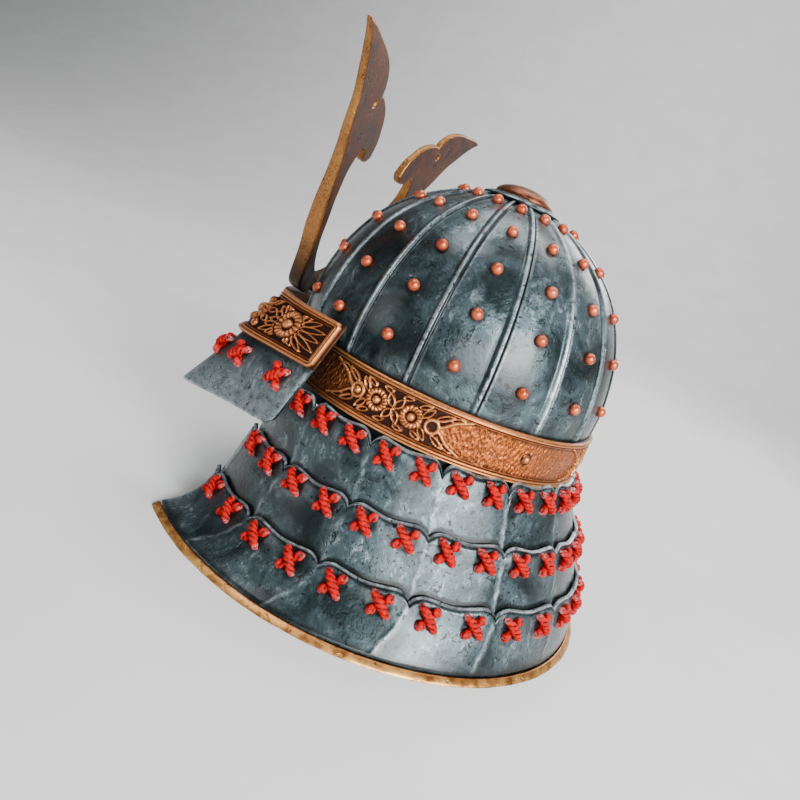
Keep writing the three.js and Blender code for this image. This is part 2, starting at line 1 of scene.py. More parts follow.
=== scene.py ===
"""A samurai helmet dressed over its plain solids. Metres; the front faces -Y, +X is the wearer's left.

Surfaces are numpy grids. beta is the angle from the front toward the wearer's left, and every
length named in U is a share of the bowl's radius:
  bowl   (r sin b, -r cos b, z) with r, z from a smoothed profile, plus the rib's cross-section
  lame   (R sin b, shift - R cos b, height - drop cos b), all four running from top to foot line
  wing   top(u) + v (foot(u) - top(u)), with top and foot centripetal splines
  horn   a flat outline on the plane fore = 1.101 - 0.094 side - 0.162 height, thickened forward
"""
import math
import bpy
import numpy as np
from mathutils import Matrix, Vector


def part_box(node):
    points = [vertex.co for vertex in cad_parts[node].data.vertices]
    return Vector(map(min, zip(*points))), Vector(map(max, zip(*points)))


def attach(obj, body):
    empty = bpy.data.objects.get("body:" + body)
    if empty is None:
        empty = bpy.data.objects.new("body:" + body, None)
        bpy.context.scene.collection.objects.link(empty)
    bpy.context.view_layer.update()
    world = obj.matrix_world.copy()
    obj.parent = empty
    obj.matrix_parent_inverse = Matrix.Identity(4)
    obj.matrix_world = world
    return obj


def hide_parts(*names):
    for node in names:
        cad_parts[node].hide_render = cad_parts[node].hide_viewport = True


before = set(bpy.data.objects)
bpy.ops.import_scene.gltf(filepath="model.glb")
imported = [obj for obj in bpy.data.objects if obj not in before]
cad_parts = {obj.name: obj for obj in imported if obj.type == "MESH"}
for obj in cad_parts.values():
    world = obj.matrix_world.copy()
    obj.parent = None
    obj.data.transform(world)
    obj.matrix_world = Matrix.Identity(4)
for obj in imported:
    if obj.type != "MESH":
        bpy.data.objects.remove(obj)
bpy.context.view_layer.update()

U = 0.120
MM = 0.001
U_MM = U / MM
WALL = 3 * MM
band_lo, band_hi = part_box("band")
# Middle of the bowl, at the height of its lowest rivets
OFF = np.array([0.0, (band_lo.y + band_hi.y) / 2, band_hi.z + 0.192 * U])
# The bowl's plates: how many, their width in degrees and the first rib's angle
PLATES = 16
PITCH = 22.5
TURN = 2.0
# The band: the radius it lies on, its inner and outer radius and the height of its foot
FOOT_RADIUS = 0.998 * U
BAND_IN = FOOT_RADIUS + 0.4 * MM
BAND_OUT = FOOT_RADIUS + 3.6 * MM
BAND_FOOT = -0.484 * U


def add_object(name, data):
    thing = bpy.data.objects.new(name, data)
    bpy.context.scene.collection.objects.link(thing)
    return thing


def aim(thing, right, up, back, place):
    """Puts a camera or a lamp at a place, with its own three axes."""
    matrix = np.eye(4)
    matrix[:3] = np.column_stack([right, up, back, place])
    thing.matrix_world = Matrix(matrix.tolist())


# Camera first: the photograph's place and roll
def make_camera():
    right = np.array([-0.32662, 0.86124, 0.38935])
    down = np.array([0.11385, 0.44479, -0.88837])
    ahead = np.array([-0.93827, -0.24583, -0.24333])
    data = bpy.data.cameras.new("camera")
    data.sensor_width = 36
    data.lens = 29.25
    data.clip_start = 0.01
    camera = add_object("camera", data)
    aim(camera, right, -down, -ahead, np.array([0.503737, 0.106082, 0.065679]) + OFF)
    bpy.context.scene.camera = camera


make_camera()


# Node helpers
class Tree:
    """Adds nodes to a material or group with named inputs."""

    def __init__(self, tree):
        self.tree = tree

    def add(self, kind, values=None, **props):
        node = self.tree.nodes.new("ShaderNode" + kind)
        for key, value in props.items():
            setattr(node, key, value)
        for key, value in (values or {}).items():
            socket = node.inputs[key]
            if isinstance(value, bpy.types.NodeSocket):
                self.tree.links.new(value, socket)
            else:
                socket.default_value = value
        return node

    def math(self, operation, a, b=0.5, clamp=False):
        return self.add("Math", {0: a, 1: b}, operation=operation, use_clamp=clamp).outputs[0]

    def ramp(self, value, low, high, to_low=0.0, to_high=1.0):
        return self.add("MapRange", {"Value": value, "From Min": low, "From Max": high,
                                     "To Min": to_low, "To Max": to_high},
                        interpolation_type="SMOOTHSTEP").outputs[0]

    def mix(self, factor, a, b):
        return self.add("Mix", {0: factor, 6: a, 7: b}, data_type="RGBA").outputs[2]

    def attribute(self, name):
        return self.add("Attribute", attribute_name=name).outputs["Fac"]

    def coords(self, scale=(1, 1, 1), turn=(0, 0, 0)):
        place = self.add("TexCoord").outputs["Object"]
        return self.add("Mapping", {"Vector": place, "Scale": scale, "Rotation": turn}).outputs[0]

    def noise(self, vector, scale, detail=4.0, rough=0.55, warp=0.0):
        return self.add("TexNoise", {"Vector": vector, "Scale": scale, "Detail": detail,
                                     "Roughness": rough, "Distortion": warp}).outputs["Fac"]


def new_group(name, outputs):
    group = bpy.data.node_groups.new(name, "ShaderNodeTree")
    for out in outputs:
        group.interface.new_socket(out, in_out="OUTPUT", socket_type="NodeSocketFloat")
    tree = Tree(group)
    return group, tree, group.nodes.new("NodeGroupOutput")


def cast_metal_group():
    """Masks of a cast and aged surface: clouds, fine grain, pits, scratches and their relief."""
    group, t, out = new_group("aged_surface", ["Cloud", "Grain", "Pits", "Scratch", "Relief"])
    place = t.coords()
    shift = t.add("TexNoise", {"Vector": place, "Scale": 240, "Detail": 3.0}).outputs["Color"]
    bent = t.add("VectorMath", {0: shift, 1: (0.005, 0.005, 0.005), 2: place},
                 operation="MULTIPLY_ADD").outputs[0]
    cloud = t.noise(place, 26, 5, 0.62, 0.6)
    grain = t.noise(place, 300, 6, 0.66)

    def chips(scale, size, rarity):
        cell = t.add("TexVoronoi", {"Vector": bent, "Scale": scale}, feature="F1")
        rare = t.add("SeparateColor", {0: cell.outputs["Color"]}).outputs[0]
        dot = t.ramp(cell.outputs["Distance"], size * 0.6, size, 1, 0)
        return t.math("MULTIPLY", dot, t.ramp(rare, rarity, rarity + 0.04))

    def cracks(scale, width, turn, rarity):
        line = t.math("ABSOLUTE", t.math("SUBTRACT", t.noise(bent, scale, 1, 0.5, 0.9), 0.5))
        where = t.ramp(t.noise(t.coords((1, 1, 1), turn), scale * 1.7, 2, 0.5), rarity, rarity + 0.04)
        return t.math("MULTIPLY", t.ramp(line, 0.0, width, 1, 0), where)

    pits = t.math("ADD", chips(170, 0.2, 0.7), chips(330, 0.24, 0.8), True)
    scratch = t.math("ADD", cracks(52, 0.012, (0.4, 0.9, 0.2), 0.57),
                     cracks(110, 0.022, (1.1, 0.3, 0.7), 0.56), True)
    low = t.math("MULTIPLY", t.math("ADD", pits, scratch), -1.0)
    relief = t.math("ADD", t.math("MULTIPLY", grain, 0.5), t.math("ADD", low, cloud))
    for name, value in (("Cloud", cloud), ("Grain", grain), ("Pits", pits),
                        ("Scratch", scratch), ("Relief", relief)):
        group.links.new(value, out.inputs[name])
    return group


AGED = cast_metal_group()


def new_material(name):
    material = bpy.data.materials.new(name)
    material.use_nodes = True
    material.node_tree.nodes.clear()
    tree = Tree(material.node_tree)
    shader = tree.add("BsdfPrincipled")
    out = tree.add("OutputMaterial")
    material.node_tree.links.new(shader.outputs[0], out.inputs["Surface"])
    return material, tree, shader


def link(tree, value, shader, name):
    tree.tree.links.new(value, shader.inputs[name])


def aged(tree):
    return tree.add("Group", node_tree=AGED).outputs


def bump(tree, height, distance, strength=1.0, normal=None):
    values = {"Height": height, "Distance": distance, "Strength": strength}
    if normal is not None:
        values["Normal"] = normal
    return tree.add("Bump", values).outputs[0]


def dark_steel(name, deep, mid, silver, gloss):
    """Painted steel: teal-grey clouds, black wash and painted shade in hollows and gaps, silver rubbed on
    ridges.
    """
    material, t, shader = new_material(name)
    a = aged(t)
    wear, wash_and_shade = t.attribute("wear"), t.attribute("wash_and_shade")
    base = t.mix(t.ramp(a["Cloud"], 0.34, 0.66), deep, mid)
    brushed = t.noise(t.coords((1, 1, 0.6)), 110, 9, 0.84, 0.7)
    pale = t.math("MULTIPLY", t.ramp(brushed, 0.5, 0.64), t.ramp(a["Cloud"], 0.42, 0.66))
    base = t.mix(t.math("MULTIPLY", pale, 0.55), base, silver)
    rub = t.math("MULTIPLY", wear, t.ramp(t.noise(t.coords(), 170, 7, 0.75), 0.3, 0.6), True)
    base = t.mix(t.math("MULTIPLY", rub, 0.85), base, silver)
    mark = t.math("MULTIPLY", t.math("ADD", a["Pits"], a["Scratch"]), 0.85)
    # Pits, scratches and black wash darken the colour, and so does painted shadow where one lame laps
    # over the next
    dirt_and_shade = t.math("ADD", t.math("MULTIPLY", wash_and_shade, t.ramp(a["Grain"], 0.05, 0.5)), mark, True)
    base = t.mix(t.math("MULTIPLY", dirt_and_shade, 0.95), base, (0.002, 0.003, 0.003, 1))
    link(t, base, shader, "Base Color")
    rough = t.ramp(t.math("ADD", a["Cloud"], t.math("MULTIPLY", a["Grain"], 0.5)), 0.5, 1.0,
                   gloss, gloss + 0.22)
    link(t, t.math("ADD", rough, t.math("MULTIPLY", dirt_and_shade, 0.3), True), shader, "Roughness")
    link(t, bump(t, a["Relief"], 0.0012, 0.9), shader, "Normal")
    shader.inputs["Metallic"].default_value = 0.8
    shader.inputs["Coat Weight"].default_value = 0.5
    shader.inputs["Coat Roughness"].default_value = 0.22
    return material


def copper_relief(name, dark, mid, gold, panel_colour):
    """Antique copper: black in the hollows, golden on the raised work, a beaten panel."""
    material, t, shader = new_material(name)
    a = aged(t)
    relief, panel = t.attribute("relief"), t.attribute("panel")
    high = t.math("ADD", relief, t.math("MULTIPLY", t.math("SUBTRACT", a["Grain"], 0.5), 0.5))
    colour = t.mix(t.ramp(high, 0.06, 0.42), dark, mid)
    colour = t.mix(t.math("MULTIPLY", t.ramp(high, 0.55, 0.98), 0.8), colour, gold)
    cells = t.add("TexVoronoi", {"Vector": t.coords((1, 1, 0.62), (0.3, 0.2, 0.0)), "Scale": 560},
                  feature="SMOOTH_F1")
    beaten = t.ramp(cells.outputs["Distance"], 0.12, 0.6, 1, 0)
    blot = t.ramp(a["Cloud"], 0.3, 0.72)
    field = t.mix(t.math("MULTIPLY", beaten, 0.66), panel_colour, dark)
    field = t.mix(t.math("MULTIPLY", blot, 0.7), field, mid)
    colour = t.mix(panel, colour, field)
    # Painted shadow behind the wings and darker beaten-field edges, from the band's attribute, mixed
    # toward the dark copper
    darkening = t.math("MULTIPLY", t.attribute("painted_shadow_and_dark_edges"), t.ramp(a["Grain"], 0.2, 0.6, 0.6, 1.0))
    colour = t.mix(darkening, colour, dark)
    link(t, colour, shader, "Base Color")
    link(t, t.ramp(a["Grain"], 0.2, 0.8, 0.3, 0.5), shader, "Roughness")
    hammer = t.math("MULTIPLY", t.math("MULTIPLY", beaten, panel), -1.0)
    first = bump(t, hammer, 0.0009, 0.9)
    link(t, bump(t, a["Relief"], 0.0005, 0.5, first), shader, "Normal")
    shader.inputs["Metallic"].default_value = 0.82
    return material


def plain_metal(name, base, other, metallic, rough, grain_scale=(1, 1, 1), wear_colour=None):
    material, t, shader = new_material(name)
    a = aged(t)
    streak = t.noise(t.coords(grain_scale), 120, 5, 0.6)
    colour = t.mix(t.ramp(t.math("ADD", a["Cloud"], t.math("SUBTRACT", streak, 0.5)), 0.3, 0.72),
                   base, other)
    if wear_colour:
        rub = t.math("MULTIPLY", t.attribute("wear"), t.ramp(streak, 0.3, 0.6), True)
        colour = t.mix(rub, colour, wear_colour)
    # Pits and the attribute darken the colour: black wash in creases, and painted shadow on the horns'
    # feet
    wash_and_shade = t.math("ADD", t.math("MULTIPLY", a["Pits"], 0.7), t.attribute("wash_and_shade"), True)
    colour = t.mix(wash_and_shade, colour, (0.012, 0.008, 0.006, 1))
    link(t, colour, shader, "Base Color")
    link(t, t.ramp(streak, 0.2, 0.8, rough - 0.08, rough + 0.12), shader, "Roughness")
    link(t, bump(t, t.math("ADD", a["Relief"], t.math("MULTIPLY", streak, 0.5)), 0.0005, 0.6),
         shader, "Normal")
    shader.inputs["Metallic"].default_value = metallic
    return material


def red_cord(name):
    """Painted cord: bright red plies with painted shade between them, white rubbed on the tips."""
    material, t, shader = new_material(name)
    a = aged(t)
    ply, tip = t.attribute("ply"), t.attribute("tip")
    # Painted shade in the grooves between the plies
    colour = t.mix(t.ramp(ply, 0.25, 0.75), (0.02, 0.0, 0.0, 1), (0.40, 0.001, 0.001, 1))
    patchy = t.ramp(t.noise(t.coords(), 420, 3, 0.6), 0.4, 0.66)
    colour = t.mix(t.math("MULTIPLY", patchy, 0.6), colour, (0.78, 0.005, 0.003, 1))
    flake = t.math("MULTIPLY", tip, t.ramp(t.noise(t.coords(), 600, 4, 0.65), 0.46, 0.6))
    colour = t.mix(t.math("MULTIPLY", flake, 0.8), colour, (0.38, 0.36, 0.36, 1))
    link(t, colour, shader, "Base Color")
    link(t, t.ramp(a["Grain"], 0.2, 0.8, 0.3, 0.55), shader, "Roughness")
    fibre = t.noise(t.coords(), 900, 4, 0.7)
    link(t, bump(t, fibre, 0.0012, 0.9), shader, "Normal")
    shader.inputs["Specular IOR Level"].default_value = 0.15
    return material


STEEL = dark_steel("painted_steel", (0.006, 0.013, 0.015, 1), (0.055, 0.088, 0.098, 1),
                   (0.50, 0.58, 0.62, 1), 0.27)
PLATE = plain_metal("crown_metal", (0.012, 0.015, 0.016, 1), (0.04, 0.055, 0.057, 1), 0.7, 0.36,
                    wear_colour=(0.3, 0.4, 0.42, 1))
RELIEF = copper_relief("antique_copper", (0.026, 0.008, 0.004, 1), (0.25, 0.075, 0.024, 1),
                       (0.66, 0.27, 0.09, 1), (0.46, 0.115, 0.016, 1))
RIVET = plain_metal("rivet_copper", (0.42, 0.07, 0.024, 1), (0.60, 0.14, 0.06, 1), 0.6, 0.34)
DOME = plain_metal("dome_copper", (0.11, 0.03, 0.014, 1), (0.27, 0.085, 0.035, 1), 0.8, 0.36)
TRIM = plain_metal("trim_copper", (0.34, 0.115, 0.028, 1), (0.60, 0.25, 0.07, 1), 0.85, 0.34,
                   wear_colour=(0.85, 0.46, 0.13, 1))
HORN = plain_metal("horn_bronze", (0.012, 0.003, 0.0012, 1), (0.060, 0.014, 0.004, 1), 0.5, 0.42,
                   (1, 1, 0.5), wear_colour=(0.24, 0.07, 0.02, 1))
HORN_EDGE = plain_metal("horn_edge", (0.15, 0.052, 0.012, 1), (0.32, 0.135, 0.034, 1), 0.7, 0.38,
                        (9, 9, 4), wear_colour=(0.62, 0.29, 0.08, 1))
CORD = red_cord("red_cord")


# Mesh helpers
def points_of(mesh):
    co = np.empty(len(mesh.vertices) * 3, np.float32)
    mesh.vertices.foreach_get("co", co)
    return co.reshape(-1, 3)


def set_points(mesh, points):
    mesh.vertices.foreach_set("co", points.astype(np.float32).ravel())


def shade(mesh, attrs, sharp):
    """Smooth shading up to sharp degrees, and the point attributes that the materials read."""
    mesh.polygons.foreach_set("use_smooth", np.ones(len(mesh.polygons), bool))
    for key, values in attrs.items():
        data = mesh.attributes.new(key, "FLOAT", "POINT").data
        data.foreach_set("value", np.clip(values, 0, 1).astype(np.float32).ravel())
    mesh.set_sharp_from_angle(angle=math.radians(sharp))


def loft_arrays(grid, ring=False):
    """Faces of stations of closed loops; ring joins the last station to the first."""
    n, m = grid.shape[:2]
    i, j = np.meshgrid(np.arange(n if ring else n - 1), np.arange(m), indexing="ij")
    i2, j2 = (i + 1) % n, (j + 1) % m
    quads = np.stack([i * m + j, i2 * m + j, i2 * m + j2, i * m + j2], -1).reshape(-1, 4)
    p = grid.reshape(-1, 3)
    a, b, c, d = (p[quads[:, k]] for k in range(4))
    volume = np.einsum("ij,ij->", a, np.cross(b, c)) + np.einsum("ij,ij->", a, np.cross(c, d))
    caps = [] if ring else [np.arange(m), (n - 1) * m + np.arange(m)[::-1]]
    for cap in caps:
        o = p[cap[0]]
        for k in range(1, m - 1):
            volume += np.dot(o, np.cross(p[cap[k]], p[cap[k + 1]]))
    if volume < 0:
        quads = quads[:, ::-1]
        caps = [cap[::-1] for cap in caps]
    return p, quads, caps


def lofts(name, parts, material, sharp):
    """Lofted bodies in one mesh. Each part is (grid, ring, attributes)."""
    verts, loops, totals, offset = [], [], [], 0
    attrs = {key: [] for key in parts[0][2]}
    for grid, ring, values in parts:
        p, quads, caps = loft_arrays(grid, ring)
        verts.append(p)
        loops += [quads.ravel() + offset] + [cap + offset for cap in caps]
        totals += [4] * len(quads) + [len(cap) for cap in caps]
        for key in attrs:
            attrs[key].append(values[key].ravel())
        offset += len(p)
    loops = np.concatenate(loops)
    starts = np.concatenate([[0], np.cumsum(totals)[:-1]])
    mesh = bpy.data.meshes.new(name)
    mesh.vertices.add(offset)
    set_points(mesh, np.concatenate(verts))
    mesh.loops.add(len(loops))
    mesh.loops.foreach_set("vertex_index", loops.astype(np.int32))
    mesh.polygons.add(len(starts))
    mesh.polygons.foreach_set("loop_start", starts.astype(np.int32))
    mesh.polygons.foreach_set("loop_total", np.array(totals, np.int32))
    mesh.update(calc_edges=True)
    shade(mesh, {key: np.concatenate(values) for key, values in attrs.items()}, sharp)
    mesh.materials.append(material)
    return add_object(name, mesh)


def loft(name, grid, material, ring=False, attrs=None, sharp=40):
    return lofts(name, [(grid, ring, attrs or {})], material, sharp)


def keep(thing, slot, *nodes):
    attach(thing, "root")
    if nodes:
        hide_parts(*nodes)


def mirror_of(name, thing, slot, *nodes):
    """The wearer's right-hand copy of a left-hand piece."""
    mesh = thing.data.copy()
    set_points(mesh, points_of(mesh) * (-1, 1, 1))
    mesh.flip_normals()
    keep(add_object(name, mesh), slot, *nodes)


def spline(points, t):
    """Centripetal Catmull-Rom through points, at t from 0 to 1 counted by spans."""
    p = np.asarray(points, float)
    ends = np.vstack([2 * p[0] - p[1], p, 2 * p[-1] - p[-2]])
    x = np.clip(np.asarray(t, float), 0, 1) * (len(p) - 1)
    i = np.minimum(x.astype(int), len(p) - 2)
    w = (x - i)[:, None]
    p0, p1, p2, p3 = (ends[i + k] for k in range(4))
    span = [np.linalg.norm(b - a, axis=1)[:, None] ** 0.5 for a, b in ((p0, p1), (p1, p2), (p2, p3))]
    t1 = ((p1 - p0) / span[0] - (p2 - p0) / (span[0] + span[1]) + (p2 - p1) / span[1]) * span[1]
    t2 = ((p2 - p1) / span[1] - (p3 - p1) / (span[1] + span[2]) + (p3 - p2) / span[2]) * span[1]
    return p1 + t1 * w + (-3 * p1 + 3 * p2 - 2 * t1 - t2) * w ** 2 + (2 * p1 - 2 * p2 + t1 + t2) * w ** 3


def resampled(points, count):
    """The smooth line through points, cut into equal lengths."""
    fine = spline(points, np.linspace(0, 1, 40 * len(points)))
    run = np.concatenate([[0], np.cumsum(np.linalg.norm(np.diff(fine, axis=0), axis=1))])
    want = np.linspace(0, run[-1], count)
    return np.stack([np.interp(want, run, fine[:, k]) for k in range(fine.shape[1])], -1)


def smooth(x):
    x = np.clip(x, 0, 1)
    return x * x * (3 - 2 * x)


def around(beta, radius, height):
    return np.stack([radius * np.sin(beta), -radius * np.cos(beta), height], -1)


def unit(vectors):
    return vectors / np.linalg.norm(vectors, axis=-1, keepdims=True)


def bell(x, width):
    return np.exp(-(x / width) ** 2)


def fade(x, start, width):
    """One up to start, and from there down to nothing over a width."""
    return 1 - smooth((x - start) / width)


def padded(values, columns, fill=0.0):
    """Adds columns of one value, for the back of a sheet."""
    return np.concatenate([values, np.full((len(values), columns), fill)], 1)


def spun(values, sides):
    """The same value all round a turned body, for each point of its profile."""
    return np.repeat(values[:, None], sides, 1)


# Bowl
BOWL_LOW = [(0.976, -0.56), (0.98, -0.5), (0.998, -0.47), (0.998, -0.33)]
BOWL_RISE = [(0.998, -0.19), (0.992, 0.0), (0.93, 0.28), (0.812, 0.52), (0.722, 0.635),
             (0.618, 0.727), (0.5, 0.807), (0.375, 0.87), (0.235, 0.912), (0.11, 0.93)]
RIVET_ROWS = [(0.993, 0.0), (0.932, 0.28), (0.812, 0.52), (0.618, 0.727), (0.376, 0.869)]

# Places across a rib in mm, from one foot of it to the other, and the number of columns between ribs
RIB_HALF = 4.4
RIB_PLACES = [-RIB_HALF, -3.7, -3.3, -2.9, -2.5, -2.1, -1.7, -1.2, -0.6, 0, 0.4, 0.7, 1.0, 1.3,
              1.75, 2.2, 2.7, 3.4, RIB_HALF]
PLATE_COLUMNS = 15
# A place across the rib that lies past it, on the plate
ON_PLATE = 5.0


def rivet_places():
    places = []
    for k in range(PLATES):
        beta = math.radians((k + 0.5) * PITCH + TURN)
        for j, (r, z) in enumerate(RIVET_ROWS):
            before, after = RIVET_ROWS[max(j - 1, 0)], RIVET_ROWS[min(j + 1, 4)]
            slope = math.atan2(before[0] - after[0], after[1] - before[1])
            places.append((beta, r * U, z * U, slope))
    return places


def rib_section(d):
    """Height in mm across a rib: a rising shoulder that drops sharply into a dark groove."""
    rise = smooth((d + 4.2) / 3.2) * (1 - smooth((d - 0.5) / 0.6)) * 1.6
    lip = 0.35 * np.exp(-((d + 0.1) / 0.5) ** 2)
    return rise + lip - 0.9 * np.exp(-((d - 1.6) / 0.55) ** 2)


def make_bowl():
    outer = np.vstack([BOWL_LOW, resampled(BOWL_RISE, 92)]) * U
    along = unit(np.gradient(outer, axis=0))
    normal = np.stack([along[:, 1], -along[:, 0]], -1)
    inner = (outer - normal * WALL)[::-1]
    inner[-1, 1] = outer[0, 1]
    skirt = len(inner) - len(BOWL_LOW)
    inner = inner[np.r_[0:skirt:6, skirt:len(inner)]]
    r, z = outer.T
    arc = r * math.radians(PITCH) / MM
    squeeze = np.minimum(1, arc * 0.44 / RIB_HALF)
    side = RIB_HALF * squeeze
    shown = smooth((z / U + 0.2) / 0.02)
    hollows = 0.85 * bell(z + 0.187 * U, 1.6 * MM) + 0.8 * smooth((0.29 * U - r) / (2.5 * MM))
    steps = [(d, d * squeeze) for d in RIB_PLACES]
    steps += [(ON_PLATE, side + (arc - 2 * side) * i / (PLATE_COLUMNS + 1))
              for i in range(1, PLATE_COLUMNS + 1)]
    seats = rivet_places()
    columns, wears, washes = [], [], []
    for k in range(PLATES):
        first = math.radians(k * PITCH + TURN)
        for d, mm in steps:
            beta = first + mm * MM / r
            lift = rib_section(d) * MM * shown * np.minimum(1, squeeze + 0.15)
            swell = 0.5 * MM * np.sin(np.pi * np.clip(mm / arc, 0, 1)) * shown
            section = outer + normal * (lift + swell)[:, None]
            points = around(beta, section[:, 0], section[:, 1])
            wear = (0.9 * bell(d + 0.6, 0.9) + 0.4 * bell(d - 3.0, 0.6)) * shown
            wash_and_shade = bell(d - 1.65, 0.75) + hollows
            for seat_beta, seat_r, seat_z, _ in seats:
                if abs((seat_beta - beta[4] + math.pi) % (2 * math.pi) - math.pi) > 0.5:
                    continue
                gap = np.linalg.norm(points - around(np.float64(seat_beta), seat_r, seat_z), axis=1)
                wash_and_shade = np.maximum(wash_and_shade, 0.95 * fade(gap / MM, 4.4, 2.4))
            back = first + (mm / arc)[0] * math.radians(PITCH)
            inside = around(np.full(len(inner), back), inner[:, 0], inner[:, 1])
            columns.append(np.vstack([points, inside]))
            wears.append(wear)
            washes.append(wash_and_shade)
    attrs = {"wear": padded(wears, len(inner)), "wash_and_shade": padded(washes, len(inner), 0.35)}
    bowl = loft("bowl_plates", np.array(columns) + OFF, STEEL, True, attrs, 60)
    keep(bowl, "dark_steel", "bowl")


def lathe(profile, sides):
    """Grid of a turned body, its profile as (radius, height) from one end to the other."""
    a = np.linspace(0, 2 * np.pi, sides, endpoint=False)
    r, z = np.array(profile, float).T
    r = np.maximum(r, 1e-5)[:, None]
    return np.stack([r * np.cos(a), r * np.sin(a), spun(z, sides)], -1)


def make_rivets():
    sides = 22
    dome = [(3.95 * math.cos(a), 1.6 + 3.8 * math.sin(a)) for a in np.linspace(-0.3, 1.5, 11)]
    profile = [(3.4, -1.0), (3.6, 0.2)] + dome + [(0.02, 5.4)]
    head = lathe(profile, sides) * MM
    wash_and_shade = spun(np.linspace(1, 0, len(profile)) ** 6, sides)
    parts = []
    for beta, r, z, slope in rivet_places():
        out = around(np.float64(beta), math.cos(slope), math.sin(slope))
        side = np.array([math.cos(beta), math.sin(beta), 0.0])
        seat = around(np.float64(beta), r, z) + OFF
        grid = seat + head @ np.array([side, np.cross(out, side), out])
        parts.append((grid, False, {"wash_and_shade": wash_and_shade}))
    keep(lofts("bowl_rivets", parts, RIVET, 50), "copper")


def rounded(points, radius, steps):
    """The corners between the first and the last point, each as a short parabola."""
    p = np.asarray(points, float)
    soft = []
    for a, b, c in zip(p, p[1:], p[2:]):
        before, after = (max(np.linalg.norm(q - b), 1e-9) for q in (a, c))
        r = min(radius, before * 0.45, after * 0.45)
        s, e = b + (a - b) / before * r, b + (c - b) / after * r
        soft += [(1 - t) ** 2 * s + 2 * t * (1 - t) * b + t * t * e for t in np.linspace(0, 1, steps)]
    return soft


def make_crown():
    foot, radius, sides = 0.916 * U_MM, 0.255 * U_MM, 128
    profile = [(0, foot + 3.3), (0.3 * radius, foot + 3.3), (0.6 * radius, foot + 2.4),
               (radius - 1.4, foot + 0.2), (radius, foot + 0.9), (radius, foot + 2.1),
               (radius - 1.0, foot + 3.2), (radius - 3.2, foot + 3.5), (radius - 4.0, foot + 4.5),
               (0.78 * radius, foot + 4.7), (0, foot + 4.7)]
    p = np.array([profile[0], *rounded(profile, 0.9, 4), profile[-1]])
    inset = radius - p[:, 0]
    wear = bell(inset - 0.7, 0.8) * (p[:, 1] > foot + 2) + 0.7 * bell(inset - 4.2, 0.6)
    wash_and_shade = 0.8 * bell(inset - 3.2, 0.7)
    plate = loft("crown_disc", lathe(p, sides) * MM + OFF, PLATE, False,
                 {"wear": spun(wear, sides), "wash_and_shade": spun(wash_and_shade, sides)}, 30)
    keep(plate, "dark_plate", "crown_plate")
    top, r, sides = foot + 5.0, 0.19 * U_MM, 96
    arc = [(r * math.cos(a), top + 0.6 + 9.2 * math.sin(a)) for a in np.linspace(0, 1.565, 22)]
    profile = [(0, top - 0.3), (r + 0.5, top - 0.3), (r + 0.6, top), (r + 0.4, top + 0.5)] + arc
    wash_and_shade = 0.8 * bell(np.array(profile)[:, 1] - top - 0.6, 0.5)
    dome = loft("crown_cap", lathe(profile, sides) * MM + OFF, DOME, False, {"wash_and_shade": spun(wash_and_shade, sides)})
    keep(dome, "copper", "crown_dome")


# Relief strokes, all in mm
def ridge(distance, half, height):
    return height * np.sqrt(np.clip(1 - (distance / half) ** 2, 0, 1))


def stroke(x, y, points, half, height):
    best = np.full(x.shape, np.inf)
    for a, b in zip(points, points[1:]):
        ab = b - a
        t = np.clip(((x - a[0]) * ab[0] + (y - a[1]) * ab[1]) / (ab @ ab + 1e-12), 0, 1)
        best = np.minimum(best, np.hypot(x - a[0] - t * ab[0], y - a[1] - t * ab[1]))
    return ridge(best, half, height)


def almond(x, y, start, end, half, line, height):
    """A pointed leaf drawn as a raised outline with a sunk middle."""
    s, e = np.array(start, float), np.array(end, float)
    length = np.linalg.norm(e - s)
    d = (e - s) / length
    q = (x - s[0]) * d[0] + (y - s[1]) * d[1]
    w = np.abs(-(x - s[0]) * d[1] + (y - s[1]) * d[0])
    edge = half * np.sin(np.pi * np.clip(q / length, 0, 1) ** 0.8) ** 0.85
    off = np.maximum(np.maximum(-q, q - length), 0) + np.abs(w - edge)
    return ridge(off, line, height)


def rosette(x, y, cx, cy, radius, twists=16):
    """A rope ring round a domed boss."""
    dx, dy = x - cx, y - cy
    r, a = np.hypot(dx, dy), np.arctan2(dy, dx)
    middle, half = radius * 0.74, radius * 0.27
    rope = 0.72 + 0.28 * np.cos(twists * a + 1.6 * (r - middle) / half)
    return np.maximum(ridge(r - middle, half, 2.0) * rope, ridge(r, radius * 0.36, 2.8))


# The band's motif in mm, seen along the band and up or down from its middle line
BAND_TALL = 35.04
MIDDLE = 18.0
FIELD_LOW, FIELD_TOP = 5.6, BAND_TALL - 5.3
ROSETTE_AT, KNOB_AT, STUD_AT = 12.6, 27.2, 97.0
# Middle above the foot, half width and height of each border
BORDERS = [(0.95, 0.95, 2.0), (3.0, 1.0, 1.7), (4.9, 0.7, 1.2), (BAND_TALL - 0.95, 0.95, 2.0),
           (BAND_TALL - 3.0, 1.0, 1.7), (BAND_TALL - 4.7, 0.55, 1.0)]
# Start, end, half width, half line and height of each leaf
LEAVES = [((0.9, 1.0), (5.2, 8.2), 2.1, 0.8, 1.9), ((3.6, 9.4), (10.5, 11.0), 1.35, 0.7, 1.7),
          ((19.4, 3.2), (25.5, 10.6), 1.7, 0.75, 1.8), ((15.5, 8.2), (23.0, 11.4), 1.35, 0.7, 1.7),
          ((28.5, 5.4), (38.5, 11.2), 1.6, 0.75, 1.8), ((37.0, 8.0), (45.5, 11.4), 1.4, 0.7, 1.7)]
STEM = [(31.0, 1.2), (33.6, 2.2), (36.6, 4.9), (40.0, 7.6), (44.0, 9.4), (50.0, 11.9)]
INNER_STEM = [(29.5, 5.0), (33.0, 6.6), (36.4, 9.2)]


